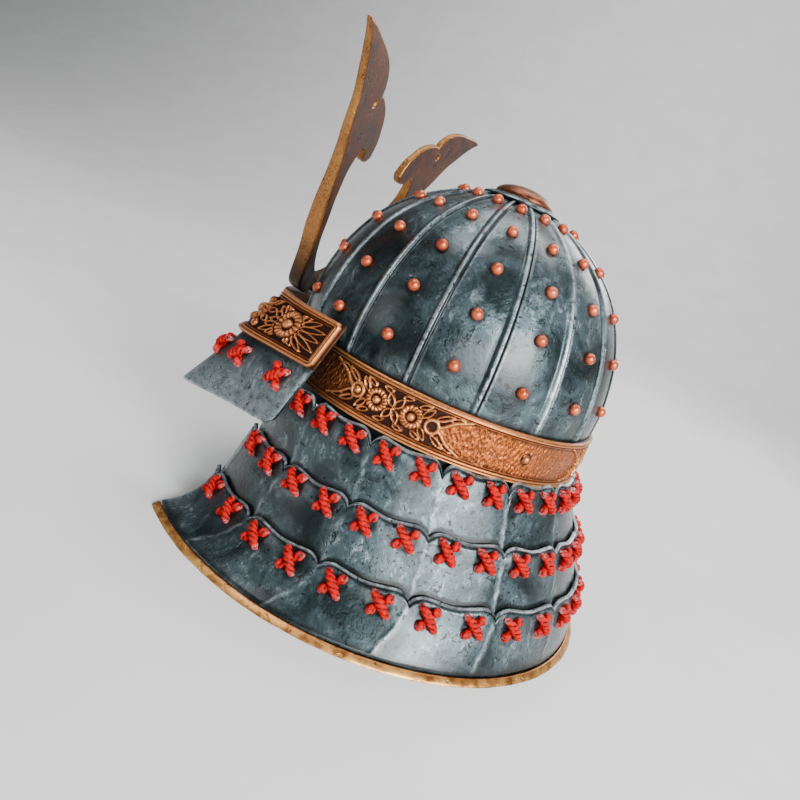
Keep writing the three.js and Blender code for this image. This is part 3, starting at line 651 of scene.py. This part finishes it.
def band_relief(s, y):
    """Height in mm, colour level and beaten-panel mask at s mm from a motif's middle."""
    borders = np.maximum.reduce([ridge(y - at, half, height) for at, half, height in BORDERS])
    x, lift = np.abs(s), np.abs(y - MIDDLE)
    layers = [rosette(x, y, ROSETTE_AT, MIDDLE, 7.8),
              ridge(np.hypot(x - KNOB_AT, lift) - 4.4, 1.25, 2.1),
              np.where(s < 0, ridge(np.hypot(s + KNOB_AT, lift), 2.9, 3.2), 0),
              ridge(np.hypot(x, lift), 1.3, 1.8)]
    for v in (y - MIDDLE, MIDDLE - y):
        layers += [almond(x, v, *leaf) for leaf in LEAVES]
        layers += [stroke(x, v, resampled(STEM, 14), 1.25, 2.2),
                   stroke(x, v, resampled(INNER_STEM, 8), 0.8, 1.6)]
    edge = np.interp(lift, [0, 2.2, 4.9, 7.6, 9.4, 11.9], [32.4, 34.6, 37.6, 41.0, 45.0, 51.0])
    panel = smooth((x - edge) / 0.9) * ((y > FIELD_LOW) & (y < FIELD_TOP))
    stud = np.hypot(x - STUD_AT, lift)
    h = np.maximum.reduce(layers + [panel * 0.55, ridge(stud, 3.3, 3.4)])
    h = h - 0.8 * np.exp(-(np.hypot(s - KNOB_AT, lift) / 2.6) ** 4)
    level = np.maximum(borders / 1.6, h / 1.7)
    level = np.where(stud < 3.3, 0.8, np.where(stud < 4.6, 0.05, level))
    return np.maximum(borders, h), level, panel * smooth((stud - 4.2) / 0.8)


def make_band():
    count = 1400
    beta = np.linspace(0, 2 * np.pi, count, endpoint=False)
    y = np.concatenate([np.linspace(0, 5.8, 15), np.linspace(6.3, 29.2, 37),
                        np.linspace(29.7, BAND_TALL, 13)])
    quarter = (np.degrees(beta) - 90 - TURN + 45) % 90 - 45
    S, Y = np.meshgrid(np.radians(quarter) * BAND_OUT / MM, y, indexing="ij")
    lift, level, panel = band_relief(S, Y)
    B = beta[:, None]
    outer = around(B + 0 * Y, BAND_OUT + (lift - 1.25) * MM, BAND_FOOT + Y * MM)
    zero = np.zeros((count, 4))
    back = BAND_TALL * np.array([1, 0.66, 0.33, 0.0])
    inside = around(B + zero, BAND_IN + zero, BAND_FOOT + back * MM + zero)
    # Painted shadow on the band behind the wings, and darker colour along both edges of the beaten fields
    painted_shadow_and_dark_edges = 0.9 * smooth((np.cos(B) - 0.16) / 0.3)
    lean = np.maximum(np.minimum(Y - FIELD_LOW, FIELD_TOP - Y), 0)
    painted_shadow_and_dark_edges = np.maximum(painted_shadow_and_dark_edges, panel * 0.75 * bell(lean, 1.6))
    attrs = {"relief": padded(np.clip(level, 0, 1), 4), "panel": padded(panel, 4),
             "painted_shadow_and_dark_edges": padded(painted_shadow_and_dark_edges, 4)}
    band = loft("band_relief", np.concatenate([outer, inside], 1) + OFF, RELIEF, True, attrs, 50)
    keep(band, "copper", "band")


# Neck guard: radius, shift, height and drop of each lame's top and foot line in U, how far its
# side bows in, and the angles in degrees from the front where its top and foot line begin
FIRST_TOP = 1.055
FIRST_SHIFT = (BAND_OUT + 1.2 * MM + WALL) / U - FIRST_TOP
LAMES = {
    "lame_1": dict(top=(FIRST_TOP, FIRST_SHIFT, -0.55, 0.035), foot=(1.143, 0.07, -0.938, 0.077),
                   bow=0, eased=False, front=(44, 44)),
    "lame_2": dict(top=(1.16, 0.06, -0.868, 0.069), foot=(1.287, 0.076, -1.246, 0.086),
                   bow=0, eased=False, front=(42, 43)),
    "lame_3": dict(top=(1.298, 0.07, -1.176, 0.083), foot=(1.506, -0.055, -1.417, 0.0),
                   bow=0.03, eased=True, front=(42, 52.5)),
}
# Height and drop in U, first angle and number of each lame's stitches
STITCH_ROWS = {"lame_1": (-0.570, 0.017, 61.9, 22), "lame_2": (-0.911, 0.054, 50.6, 24),
               "lame_3": (-1.227, 0.064, 50.6, 24)}


def lame_line(lame, share):
    """Radius, shift, height and drop of a lame's circle at a share of the way down."""
    late = share * np.abs(share) if lame["eased"] else share
    shares = zip(lame["top"], lame["foot"], (share, late, share, late))
    radius, shift, height, drop = ((a + (b - a) * s) * U for a, b, s in shares)
    return radius - lame["bow"] * 4 * share * (1 - share) * U, shift, height, drop


def tab_height(degrees, rise=6.6):
    """Height in mm of the scalloped edge over the lame's top line."""
    turn = (degrees % PITCH) / PITCH
    near = np.minimum(turn, 1 - turn)
    shoulder = np.sqrt(np.clip(1 - (1 - np.minimum(near / 0.19, 1)) ** 2, 0, 1))
    return rise * shoulder - 2.2 * smooth((near - 0.1) / 0.4) - 2.2


def facet(degrees):
    turn = (degrees % PITCH) / PITCH
    edge = np.abs(turn - 0.5) * 2
    return (edge ** 2 - 1) * 0.12


def lame_point(lame, degrees, share, lift):
    """A point lift metres off the outer face of a lame."""
    beta = np.radians(degrees)
    radius, shift, height, drop = lame_line(lame, share)
    near, far = lame_line(lame, share - 0.02), lame_line(lame, share + 0.02)
    slope = (far[0] - near[0]) / np.maximum(near[2] - far[2], 1e-9)
    length = np.hypot(1, slope)
    out = radius + facet(degrees) * MM + lift / length
    return np.stack([out * np.sin(beta), shift - out * np.cos(beta),
                     height - drop * np.cos(beta) + lift * slope / length], -1)


def lame_tall(lame):
    return (lame["top"][2] - lame["foot"][2]) * U_MM


def lame_degrees(lame, turn, along):
    front = lame["front"][0] + (lame["front"][1] - lame["front"][0]) * along
    return front + (360 - 2 * front) * turn


def stitch_places(name):
    """Angle and share down the lame of each cross stitch of a row."""
    height, drop, first, count = STITCH_ROWS[name]
    shares = np.linspace(-0.1, 0.6, 141)
    places = []
    for degrees in first + np.arange(count) * PITCH / 2:
        want = (height - drop * math.cos(math.radians(degrees))) * U
        z = lame_point(LAMES[name], np.full(len(shares), degrees), shares, 0)[:, 2]
        places.append((degrees, float(np.interp(-want, -z, shares))))
    return places


def make_lame(name, count):
    lame, tall = LAMES[name], lame_tall(LAMES[name])
    reach = tall * (1.25 if name == "lame_3" else 1.05)
    turn = np.linspace(0, 1, count)
    tabs = tab_height(lame_degrees(lame, turn, 0), 10.4 if name == "lame_1" else 6.8)[:, None] / tall

    def spread(down):
        """A grid of shares down the lame, its angles and its shares below the top line."""
        A, T = np.meshgrid(down, turn)
        return A, lame_degrees(lame, T, A), (1 + tabs) * A - tabs

    rows = [0, 0.3, 0.7, 1.2, 1.7, 2.2, 2.7, 3.3, 4.0, 5.0, *np.linspace(6.2, reach - 0.9, 34),
            reach - 0.4, reach]
    A, D, share = spread(np.array(rows) / reach)
    mm = A * reach
    radius = lame_line(lame, share)[0] / MM
    across = np.radians((D + PITCH / 2) % PITCH - PITCH / 2) * radius
    wobble = 0.6 * np.sin(mm * 0.43 + 1.3) + 0.4 * np.sin(mm * 0.91)
    below = smooth((mm - 5) / 6)
    height = 0.35 * bell(across + 0.5 * wobble, 1.8) * below
    height += 0.45 * bell(mm - 1.1, 0.9) - 0.7 * bell(mm - 2.7, 0.7)
    height -= 1.3 * np.sqrt(np.clip(1 - mm / 1.2, 0, 1)) + 0.9 * smooth((mm - reach + 0.9) / 0.9)
    streak = bell(across + 0.9 * wobble, 1.1) * below
    wear = 0.85 * bell(mm - 0.7, 0.8) + (0.3 + 0.2 * np.sin(mm * 0.37 + D * 0.31)) * streak
    wash_and_shade = 0.7 * bell(mm - 2.6, 0.7)
    if name == "lame_3":
        wash_and_shade = np.maximum(wash_and_shade, 0.85 * bell(reach - mm - 1.2, 1.2))
    else:
        # Painted shadow, with black wash, on this lame just above the next lame's scalloped edge, where
        # the gap between them lies in shade
        lower = LAMES["lame_2" if name == "lame_1" else "lame_3"]
        edge = lame_point(lower, D, -tab_height(D) / lame_tall(lower), 0)
        above = (lame_point(lame, D, share, 0) - edge)[..., 2] / MM
        wash_and_shade = np.maximum(wash_and_shade, 0.97 * fade(above, 0.7, 1.5))
        wear = wear * (above > 1)
    for degrees, at in stitch_places(name):
        gap = np.hypot(np.radians(D - degrees) * radius, (share - at) * reach)
        wash_and_shade = np.maximum(wash_and_shade, 0.8 * fade(gap, 6.2, 3.2))
        height -= 0.35 * fade(gap, 5, 4)
    outer = lame_point(lame, D, share, height * MM)
    back = [1, 0.8, 0.6, 0.4, 0.2, 0.06, 0.02, 0]
    A, D, share = spread(back)
    inner = lame_point(lame, D, share, -WALL + 0.7 * MM * (A < 0.01))
    ends = np.exp(-np.minimum(turn, 1 - turn)[:, None] * count / 2.0)
    piece = loft(name + "_plate", np.concatenate([outer, inner], 1) + OFF, STEEL, False,
                 {"wear": padded(np.maximum(wear, ends), len(back)),
                  "wash_and_shade": padded(wash_and_shade, len(back), 0.35)}, 50)
    keep(piece, "dark_steel", name)


def make_trim():
    lame, count = LAMES["lame_3"], 700
    turn = np.linspace(0, 1, count)
    degrees = lame_degrees(lame, turn, 1.0)
    lip = lame_point(lame, degrees, np.ones(count), 0)
    out = unit(lip - lame_point(lame, degrees, np.ones(count), -WALL))
    beta = np.radians(degrees)
    fall = np.cross(out, np.stack([np.cos(beta), np.sin(beta), 0 * beta], -1))
    fall *= -np.sign(fall[:, 2:])
    a = np.linspace(0, 2 * np.pi, 28, endpoint=False)
    x, y = (np.sign(f) * np.abs(f) ** 0.62 for f in (np.cos(a), np.sin(a)))
    down, thick = (3.6 + 3.2 * x) * MM, (-1.5 + 1.95 * y) * MM
    wave = 1 + 0.02 * np.sin(turn * 211) + 0.015 * np.sin(turn * 97 + 1)
    grid = lip[:, None] + fall[:, None] * np.outer(wave, down)[..., None]
    grid = grid + out[:, None] * thick[:, None] + OFF
    grid[..., 2] = np.maximum(grid[..., 2], 0.05 * MM)
    worn = np.clip(thick / (0.4 * MM), 0, 1) * np.clip(down / (6 * MM), 0, 1)
    wash_and_shade = bell(down - 0.4 * MM, 0.5 * MM)
    trim = loft("rim_copper", grid, TRIM, False,
                {"wear": np.tile(worn, (count, 1)), "wash_and_shade": np.tile(wash_and_shade, (count, 1))}, 60)
    keep(trim, "copper", "rim_trim")


# Wings
WING_TOP = [(1.17, -0.33, -0.03), (1.07, -0.58, -0.04), (0.97, -0.73, -0.05), (0.9, -0.81, -0.055),
            (0.84, -0.825, -0.07), (0.805, -0.785, -0.09), (0.787, -0.698, -0.1)]
WING_FOOT = [(1.27, -0.48, -0.66), (1.16, -0.8, -0.7), (1.03, -1.15, -0.76), (0.93, -1.27, -0.79),
             (0.85, -1.22, -0.8), (0.8, -1.05, -0.79), (0.814, -0.667, -0.77)]

WING_STITCHES = [(0.085, 0.605), (0.275, 0.585), (0.485, 0.585)]


def wing_point(u, v, lift):
    """A point of the left wing, lift metres off its outer face; u and v have one shape."""
    shape = u.shape
    u, v, lift = u.ravel(), v.ravel(), np.broadcast_to(lift, shape).ravel()
    past = np.minimum(u, 0)[:, None]
    u = np.maximum(u, 0)

    def flat(w):
        top, foot = spline(WING_TOP, w) * U, spline(WING_FOOT, w) * U
        return top + (foot - top) * v[:, None], foot - top

    here, fall = flat(u)
    ahead, behind = flat(np.minimum(u + 0.006, 1))[0], flat(np.maximum(u - 0.006, 0))[0]
    normal = unit(np.cross(fall, ahead - behind))
    here = here + (ahead - behind) * past / 0.006
    return (here - normal * lift[:, None]).reshape(*shape, 3)


def wing_lengths(count, v):
    """Distance in mm along the wing at a share of its height."""
    u = np.linspace(0, 1, count)
    p = wing_point(u, np.full(count, v), 0.0)
    return u, np.concatenate([[0], np.cumsum(np.linalg.norm(np.diff(p, axis=0), axis=1))]) / MM


def make_wing():
    columns, rows, backs, corner = 150, 74, 16, 8.0
    V, W = np.meshgrid(np.linspace(0, 1, rows), np.linspace(0, 1, columns))
    run, mm = wing_lengths(400, 0.6)
    along = np.interp(W, run, mm)
    tall = np.interp(W, [0, 0.45, 0.6, 1], [79, 101, 101, 80])
    foot_gap = (1 - V) * tall
    inset = np.hypot(np.maximum(corner - along, 0), np.maximum(corner - foot_gap, 0))
    cut = np.maximum(inset - corner, 0) * 0.8
    near = np.minimum(np.minimum(along, foot_gap), V * tall)
    wear = np.maximum(0.95 * bell(near, 1.5), 0.42 * smooth((V - 0.5) / 0.45))
    wash_and_shade = 0.9 * bell((V - 0.445) * tall, 2.2)
    for at_u, at_v in WING_STITCHES:
        gap = np.hypot(along - np.interp(at_u, run, mm), (V - at_v) * tall)
        wash_and_shade = np.maximum(wash_and_shade, 0.6 * fade(gap, 5.6, 3))
    u, v = W + cut / 190, V - cut / 79
    outer = wing_point(u, v, -0.7 * bell(near, 0.5) * MM)
    back = np.linspace(rows - 1, 0, backs).astype(int)
    inner = wing_point(u[:, back], v[:, back], -WALL)
    wing = loft("wing_left", np.concatenate([outer, inner], 1) + OFF, STEEL, False,
                {"wear": padded(wear, backs), "wash_and_shade": padded(wash_and_shade, backs, 0.3)}, 50)
    keep(wing, "dark_steel")
    mirror_of("wing_right", wing, "dark_steel")


def fan(x, y, centre, start, low, high, angles):
    """Pointed leaves round a rosette, each as long as its place in the field allows."""
    h = np.zeros(x.shape)
    for a in angles:
        d = np.array([math.cos(a), math.sin(a)])
        reach = min(40.0, *((np.where(d > 0, high, low) - centre) / d))
        room = reach - start
        if room >= 3.2:
            h = np.maximum(h, almond(x, y, centre + d * start, centre + d * (reach - 0.7),
                                     min(1.9, room * 0.22), 0.62, 2.0))
    return h


# The wing's ornament: height in mm, how far it stands past the wing's edge, its corner radius,
# its place and height as shares of the wing, its gap and thickness in mm
PLAQUE_TALL, PLAQUE_PAST, PLAQUE_CORNER = 36.5, 2.8, 5.0
PLAQUE_LOW, PLAQUE_SHARE = -0.006, 0.436
PLAQUE_GAP, PLAQUE_THICK = 0.4, 2.8


def make_ornament():
    tall = PLAQUE_TALL
    run, mm = wing_lengths(500, 0.22)
    total = np.interp(0.79, run, mm) + PLAQUE_PAST
    x, y = np.linspace(0, total, 250), np.linspace(0, tall, 92)
    beyond = x - PLAQUE_PAST
    u = np.interp(beyond, mm, run) + np.minimum(beyond, 0) * run[5] / mm[5]
    Y, X = np.meshgrid(y, x)
    V, W = np.meshgrid(y / tall * PLAQUE_SHARE + PLAQUE_LOW, u)
    end, side = np.minimum(X, total - X), np.minimum(Y, tall - Y)
    cx, cy = np.maximum(PLAQUE_CORNER - end, 0), np.maximum(PLAQUE_CORNER - side, 0)
    near = np.where((cx > 0) & (cy > 0), PLAQUE_CORNER - np.hypot(cx, cy), np.minimum(end, side))
    h = np.maximum.reduce([ridge(near - 1.3, 1.3, 2.4), ridge(near - 3.5, 0.9, 1.9),
                           ridge(near - 5.2, 0.6, 1.2)])
    level = np.clip(h / 2.1, 0, 1)
    first, second = np.interp([0.175, 0.5], run, mm) + PLAQUE_PAST
    middle, split, inset = tall * 0.48, (first + second) / 2, 6.3
    angles = np.radians(np.arange(6, 360, 13.2))
    for at, left, right, some in ((first, inset, split, angles),
                                  (second, split, total - inset, angles[::2])):
        leaves = fan(X, Y, np.array([at, middle]), 11.1, (left, inset), (right, tall - inset), some)
        flower = rosette(X, Y, at, middle, 10.2) * 1.3
        ground = np.hypot(X - at, Y - middle) < 11.3
        h = np.where(ground, 0.6 + flower, np.maximum(h, leaves))
        level = np.where(ground, flower / 2.6, np.maximum(level, leaves / 2.1))
    rim = 0.6 * fade(near, 0, 1.6)
    outer = wing_point(W, V, (PLAQUE_GAP + PLAQUE_THICK - rim + h) * MM)
    V, W = np.meshgrid(np.array([1.0, 0.5, 0.0]) * PLAQUE_SHARE + PLAQUE_LOW, u)
    grid = np.concatenate([outer, wing_point(W, V, PLAQUE_GAP * MM)], 1)
    # Rounded corners: pull the corners of every layer toward the plate's middle
    heart = wing_point(np.array([np.interp(total / 2, mm, run)]), np.array([0.215]), 2 * MM)[0]
    pull = 0.6 * np.clip(-padded(near, 3, 9.0), 0, 3)[..., None]
    grid = grid + unit(heart - grid) * pull * MM + OFF
    ornament = loft("wing_relief_left", grid, RELIEF, False, {"relief": padded(level, 3, 0.3)}, 50)
    keep(ornament, "copper", "wing_ornament_left")
    mirror_of("wing_relief_right", ornament, "copper", "wing_ornament_right")


# Cross stitches
def strand(centre, along, out, length, hump, fat, top):
    """One twisted cord of a cross stitch; along is its run over the plate."""
    steps, sides = 30, 18
    q = np.linspace(-1, 1, steps)
    far = np.abs(q)
    if top:
        height = hump * (1 - far ** 3.2) - 1.2 * far ** 5
        size = fat * (0.9 + 0.12 * np.cos(q * 3.1)) * (1 - 0.5 * smooth((far - 0.82) / 0.18))
    else:
        ball = bell(far - 0.66, 0.24)
        height = 0.2 + hump * ball - 2.0 * far ** 7
        size = fat * (0.55 + 0.5 * ball) * (1 - 0.45 * smooth((far - 0.84) / 0.16))
    spine = centre + (along * (q * length)[:, None] + out * height[:, None]) * MM
    across = np.cross(out, along)
    up = np.cross(unit(np.gradient(spine, axis=0)), across)
    a = np.linspace(0, 2 * np.pi, sides, endpoint=False)
    twist = q[:, None] * (6.2 if top else 5.0)
    ply = np.abs(np.cos(1.5 * (a + twist))) ** 0.6
    strands = 0.5 + 0.5 * np.cos(7 * (a - 0.6 * twist) + 1.0)
    r = size[:, None] * (0.70 + 0.30 * ply + 0.06 * strands) * MM
    grid = spine[:, None] + (np.cos(a) * r)[..., None] * across + (np.sin(a) * r)[..., None] * up[:, None]
    tip = spun(smooth((far - 0.66) / 0.22), sides)
    return grid, False, {"ply": ply * (0.7 + 0.3 * strands), "tip": tip * (1.0 if top else 0.6)}


def cross_stitch(surface, x, y, dx, dy, lean, under_lean):
    """Two crossed cords at x, y of a surface, each leaning from level toward its fall."""
    def at(i, j, lift=0.0):
        return surface(np.array([x + i]), np.array([y + j]), lift)[0]

    centre = at(0, 0)
    level = unit(at(dx, 0) - at(-dx, 0))
    fall = at(0, dy) - at(0, -dy)
    fall = unit(fall - level * np.dot(level, fall))
    out = unit(at(0, 0, MM) - centre)
    under, over = (level * math.cos(a) + fall * math.sin(a)
                   for a in (math.radians(under_lean), math.radians(lean)))
    return [strand(centre + OFF, under, out, 9.6, 1.6, 3.0, False),
            strand(centre + OFF, over, out, 9.8, 3.6, 3.15, True)]


def make_stitches():
    for name, lame in LAMES.items():
        parts = []
        for k, (degrees, share) in enumerate(stitch_places(name)):
            lean = 47 + 3 * math.sin(k * 2.3)
            parts += cross_stitch(lambda d, s, lift: lame_point(lame, d, s, lift),
                                  degrees, share, 1, 0.03, lean, -lean)
        keep(lofts("stitches_" + name[-1], parts, CORD, 80), "dark_steel")
    parts = []
    for k, (u, v) in enumerate(WING_STITCHES):
        parts += cross_stitch(wing_point, u, v, -0.01, 0.02, -36 + 4 * math.sin(k * 2.1), 62)
    cords = lofts("stitches_wing_left", parts, CORD, 80)
    keep(cords, "dark_steel")
    mirror_of("stitches_wing_right", cords, "dark_steel")


# Horns
HORN_OUTER = [(1.19, 1.348), (1.112, 1.296), (1.032, 1.228), (0.953, 1.141), (0.878, 1.056),
              (0.831, 0.976), (0.778, 0.884), (0.709, 0.784), (0.65, 0.672), (0.596, 0.555),
              (0.513, 0.402), (0.438, 0.264), (0.37, 0.13), (0.33, 0.01), (0.28, -0.09),
              (0.17, -0.14), (0.03, -0.15)]
HORN_STEM = [(0.03, -0.02), (0.11, 0.01), (0.2, 0.07), (0.275, 0.15), (0.35, 0.269),
             (0.402, 0.399), (0.455, 0.52), (0.482, 0.612), (0.5, 0.691), (0.497, 0.755),
             (0.474, 0.84), (0.44, 0.85), (0.4, 0.8), (0.33, 0.785), (0.281, 0.825)]
HORN_HOOK = [(0.281, 0.825), (0.288, 0.885), (0.302, 0.94), (0.338, 0.996), (0.385, 1.055),
             (0.45, 1.105), (0.56, 1.145), (0.612, 1.142)]
HORN_BLADE = [(0.604, 1.186), (0.657, 1.244), (0.719, 1.285), (0.82, 1.318), (0.985, 1.343),
              (1.105, 1.357), (1.19, 1.348)]
HORN_THICK = [(-0.15, 0.098), (0.05, 0.1), (0.15, 0.104), (0.3, 0.109), (0.45, 0.098), (0.6, 0.08),
              (1.0, 0.052), (1.25, 0.044), (1.37, 0.03)]

# Half the raw thickness in mm, of which the bevel is a part, and how deep a bevel stays
HORN_HALF, HORN_BEVEL, HORN_EDGE_DEEP = 5.0, 1.8, 1.9
HOLE_RADIUS, HOLE_SHARE = 2.3, 0.45


def horn_flat():
    """The flat, bevelled blade with its hole, from a filled curve, in mm."""
    runs = [(HORN_OUTER, 64), (HORN_STEM, 56), (HORN_HOOK, 26), (HORN_BLADE, 24)]
    outline = np.vstack([resampled(points, count)[:-1 if points is not HORN_STEM else None]
                         for points, count in runs])
    new = np.linalg.norm(np.diff(outline, axis=0), axis=1) > 1e-4
    outline = outline[np.r_[True, new]] * U_MM
    hook, outer = np.array(HORN_HOOK[5]), np.array(HORN_OUTER[4])
    turn = np.linspace(0, 2 * np.pi, 20, endpoint=False)
    hole = ((1 - HOLE_SHARE) * hook + HOLE_SHARE * outer) * U_MM
    hole = hole + HOLE_RADIUS * np.stack([np.cos(turn), np.sin(turn)], -1)
    curve = bpy.data.curves.new("horn_outline", "CURVE")
    curve.dimensions = "2D"
    curve.fill_mode = "BOTH"
    curve.extrude = HORN_HALF - HORN_BEVEL
    curve.bevel_depth = HORN_BEVEL
    curve.bevel_resolution = 4
    curve.offset = -HORN_BEVEL
    for loop in (outline, hole):
        line = curve.splines.new("POLY")
        line.points.add(len(loop) - 1)
        flat = np.column_stack([loop, np.zeros(len(loop)), np.ones(len(loop))])
        line.points.foreach_set("co", flat.ravel())
        line.use_cyclic_u = True
    source = add_object("horn_source", curve)
    mesh = bpy.data.meshes.new_from_object(source.evaluated_get(bpy.context.evaluated_depsgraph_get()))
    bpy.data.objects.remove(source)
    bpy.data.curves.remove(curve)
    return mesh


def make_horn():
    mesh = horn_flat()
    x, y, z = points_of(mesh).astype(float).T
    side, height, depth = x / U_MM, y / U_MM, z + HORN_HALF
    thick = np.interp(height, *np.array(HORN_THICK).T) * U_MM
    depth = np.where(depth < HORN_HALF, np.minimum(depth, HORN_EDGE_DEEP),
                     thick - np.minimum(2 * HORN_HALF - depth, HORN_EDGE_DEEP))
    fore = 1.101 - 0.094 * side - 0.162 * height
    ahead = unit(np.array([0.094, -1.0, 0.162]))
    points = np.stack([side, -fore, height], -1) * U + ahead * (depth * MM)[:, None] + OFF
    # The faces between the two broad sides form the golden edge
    normals = np.empty(len(mesh.polygons) * 3, np.float32)
    mesh.polygons.foreach_get("normal", normals)
    faces = (np.abs(normals.reshape(-1, 3)[:, 2]) < 0.93).astype(np.int32)
    set_points(mesh, points)
    mesh.materials.clear()
    mesh.materials.append(HORN)
    mesh.materials.append(HORN_EDGE)
    mesh.polygons.foreach_set("material_index", faces)
    mesh.update()
    # Painted shadow: the horn darkens toward its foot, and its rubbed colour fades there
    shadow = smooth((0.3 - height) / 0.34) * 0.9
    shade(mesh, {"wear": 0.16 * (1 - shadow), "wash_and_shade": shadow}, 35)
    horn = add_object("horn_blade_left", mesh)
    keep(horn, "bronze", "horn_left")
    mirror_of("horn_blade_right", horn, "bronze", "horn_right")


# Peak and socket
def slab(name, stations, material, slot, node, radius):
    """A body through stations of closed sections, with rounded section corners."""
    grid = np.array([rounded(np.vstack([section, section[:2]]), radius, 5) for section in stations])
    wash_and_shade = np.zeros(grid.shape[:2])
    piece = loft(name, grid + OFF, material, False, {"wear": wash_and_shade + 0.25, "wash_and_shade": wash_and_shade}, 50)
    keep(piece, slot, node)


def make_front():
    stations = []
    for share in np.linspace(-1, 1, 81):
        t = np.linspace(0, 1, 9) * math.sqrt(1 - 0.96 * share * share)
        r, z = FOOT_RADIUS + (0.8 + 34 * t) * MM, BAND_FOOT - (0.4 + 12.4 * t * t) * MM
        beta = np.full(9, math.radians(40 * share))
        stations.append(np.vstack([around(beta, r, z), around(beta, r, z - WALL)[::-1]]))
    slab("brow_peak", stations, STEEL, "dark_steel", "peak", 1.2 * MM)
    stations = []
    half = math.asin(0.17 * U / BAND_OUT)
    near, top, foot = BAND_OUT + 1.6 * MM, -0.15 * U - 0.4 * MM, -0.45 * U
    for share in np.linspace(-1, 1, 33):
        far = BAND_OUT + 0.25 * U * math.sqrt(1 - 0.55 * share ** 4)
        stations.append(around(np.full(4, half * share), np.array([near, far, far, near]),
                               np.array([top, top, foot, foot])))
    slab("crest_socket", stations, HORN, "copper", "horn_socket", 2.2 * MM)


make_bowl()
make_rivets()
make_crown()
make_band()
make_lame("lame_1", 620)
make_lame("lame_2", 700)
make_lame("lame_3", 820)
make_trim()
make_wing()
make_ornament()
make_stitches()
make_horn()
make_front()


# Floor and light
def make_stage():
    """A level floor that sweeps up into a wall behind the helmet."""
    bend = [(-1.2 - 3.2 * math.sin(a), 3.2 - 3.2 * math.cos(a)) for a in np.linspace(0, np.pi / 2, 40)]
    line = [(4.0, 0.0)] + bend + [(-4.4, 7.0)]
    back = [(x - 0.02, z - 0.02) for x, z in reversed(line)]
    grid = [[(x, y, z) for x, z in line + back] for y in (-7.0, 7.0)]
    material, t, shader = new_material("pale_floor")
    mottled = t.noise(t.coords(), 6, 4, 0.6)
    link(t, t.mix(t.ramp(mottled, 0.3, 0.7), (0.70, 0.695, 0.685, 1), (0.74, 0.735, 0.725, 1)),
         shader, "Base Color")
    shader.inputs["Roughness"].default_value = 0.8
    loft("floor", np.array(grid), material)


def area(name, location, target, size, power, colour=(1, 1, 1)):
    data = bpy.data.lights.new(name, "AREA")
    data.shape = "RECTANGLE"
    data.size, data.size_y = size
    data.energy = power
    data.color = colour
    here = np.array(location, float)
    back = unit(here - target)
    side = unit(np.cross([0, 0, 1.0], back))
    aim(add_object(name, data), side, np.cross(back, side), back, here)


def make_light():
    world = bpy.data.worlds.new("world")
    bpy.context.scene.world = world
    world.use_nodes = True
    world.node_tree.nodes["Background"].inputs["Color"].default_value = (0.9, 0.95, 1.0, 1)
    world.node_tree.nodes["Background"].inputs["Strength"].default_value = 0.17
    middle = (0.0, 0.0, 0.17)
    area("window", (1.0, 1.2, 0.8), middle, (0.75, 0.6), 46, (0.97, 0.99, 1.0))
    area("sky", (0.35, -0.45, 1.6), middle, (0.6, 0.6), 10, (0.95, 0.98, 1.0))
    area("low_window", (1.25, 1.1, 0.45), middle, (2.0, 0.55), 34, (0.97, 0.99, 1.0))
    area("fill", (1.3, -1.5, 0.5), middle, (0.7, 0.7), 4, (1.0, 0.97, 0.94))
    area("back", (-1.5, 0.5, 1.1), middle, (0.8, 0.8), 14)
    area("backdrop", (-1.3, 0.0, 3.2), (-3.4, -0.2, 0.6), (2.0, 2.0), 110)


make_stage()
make_light()
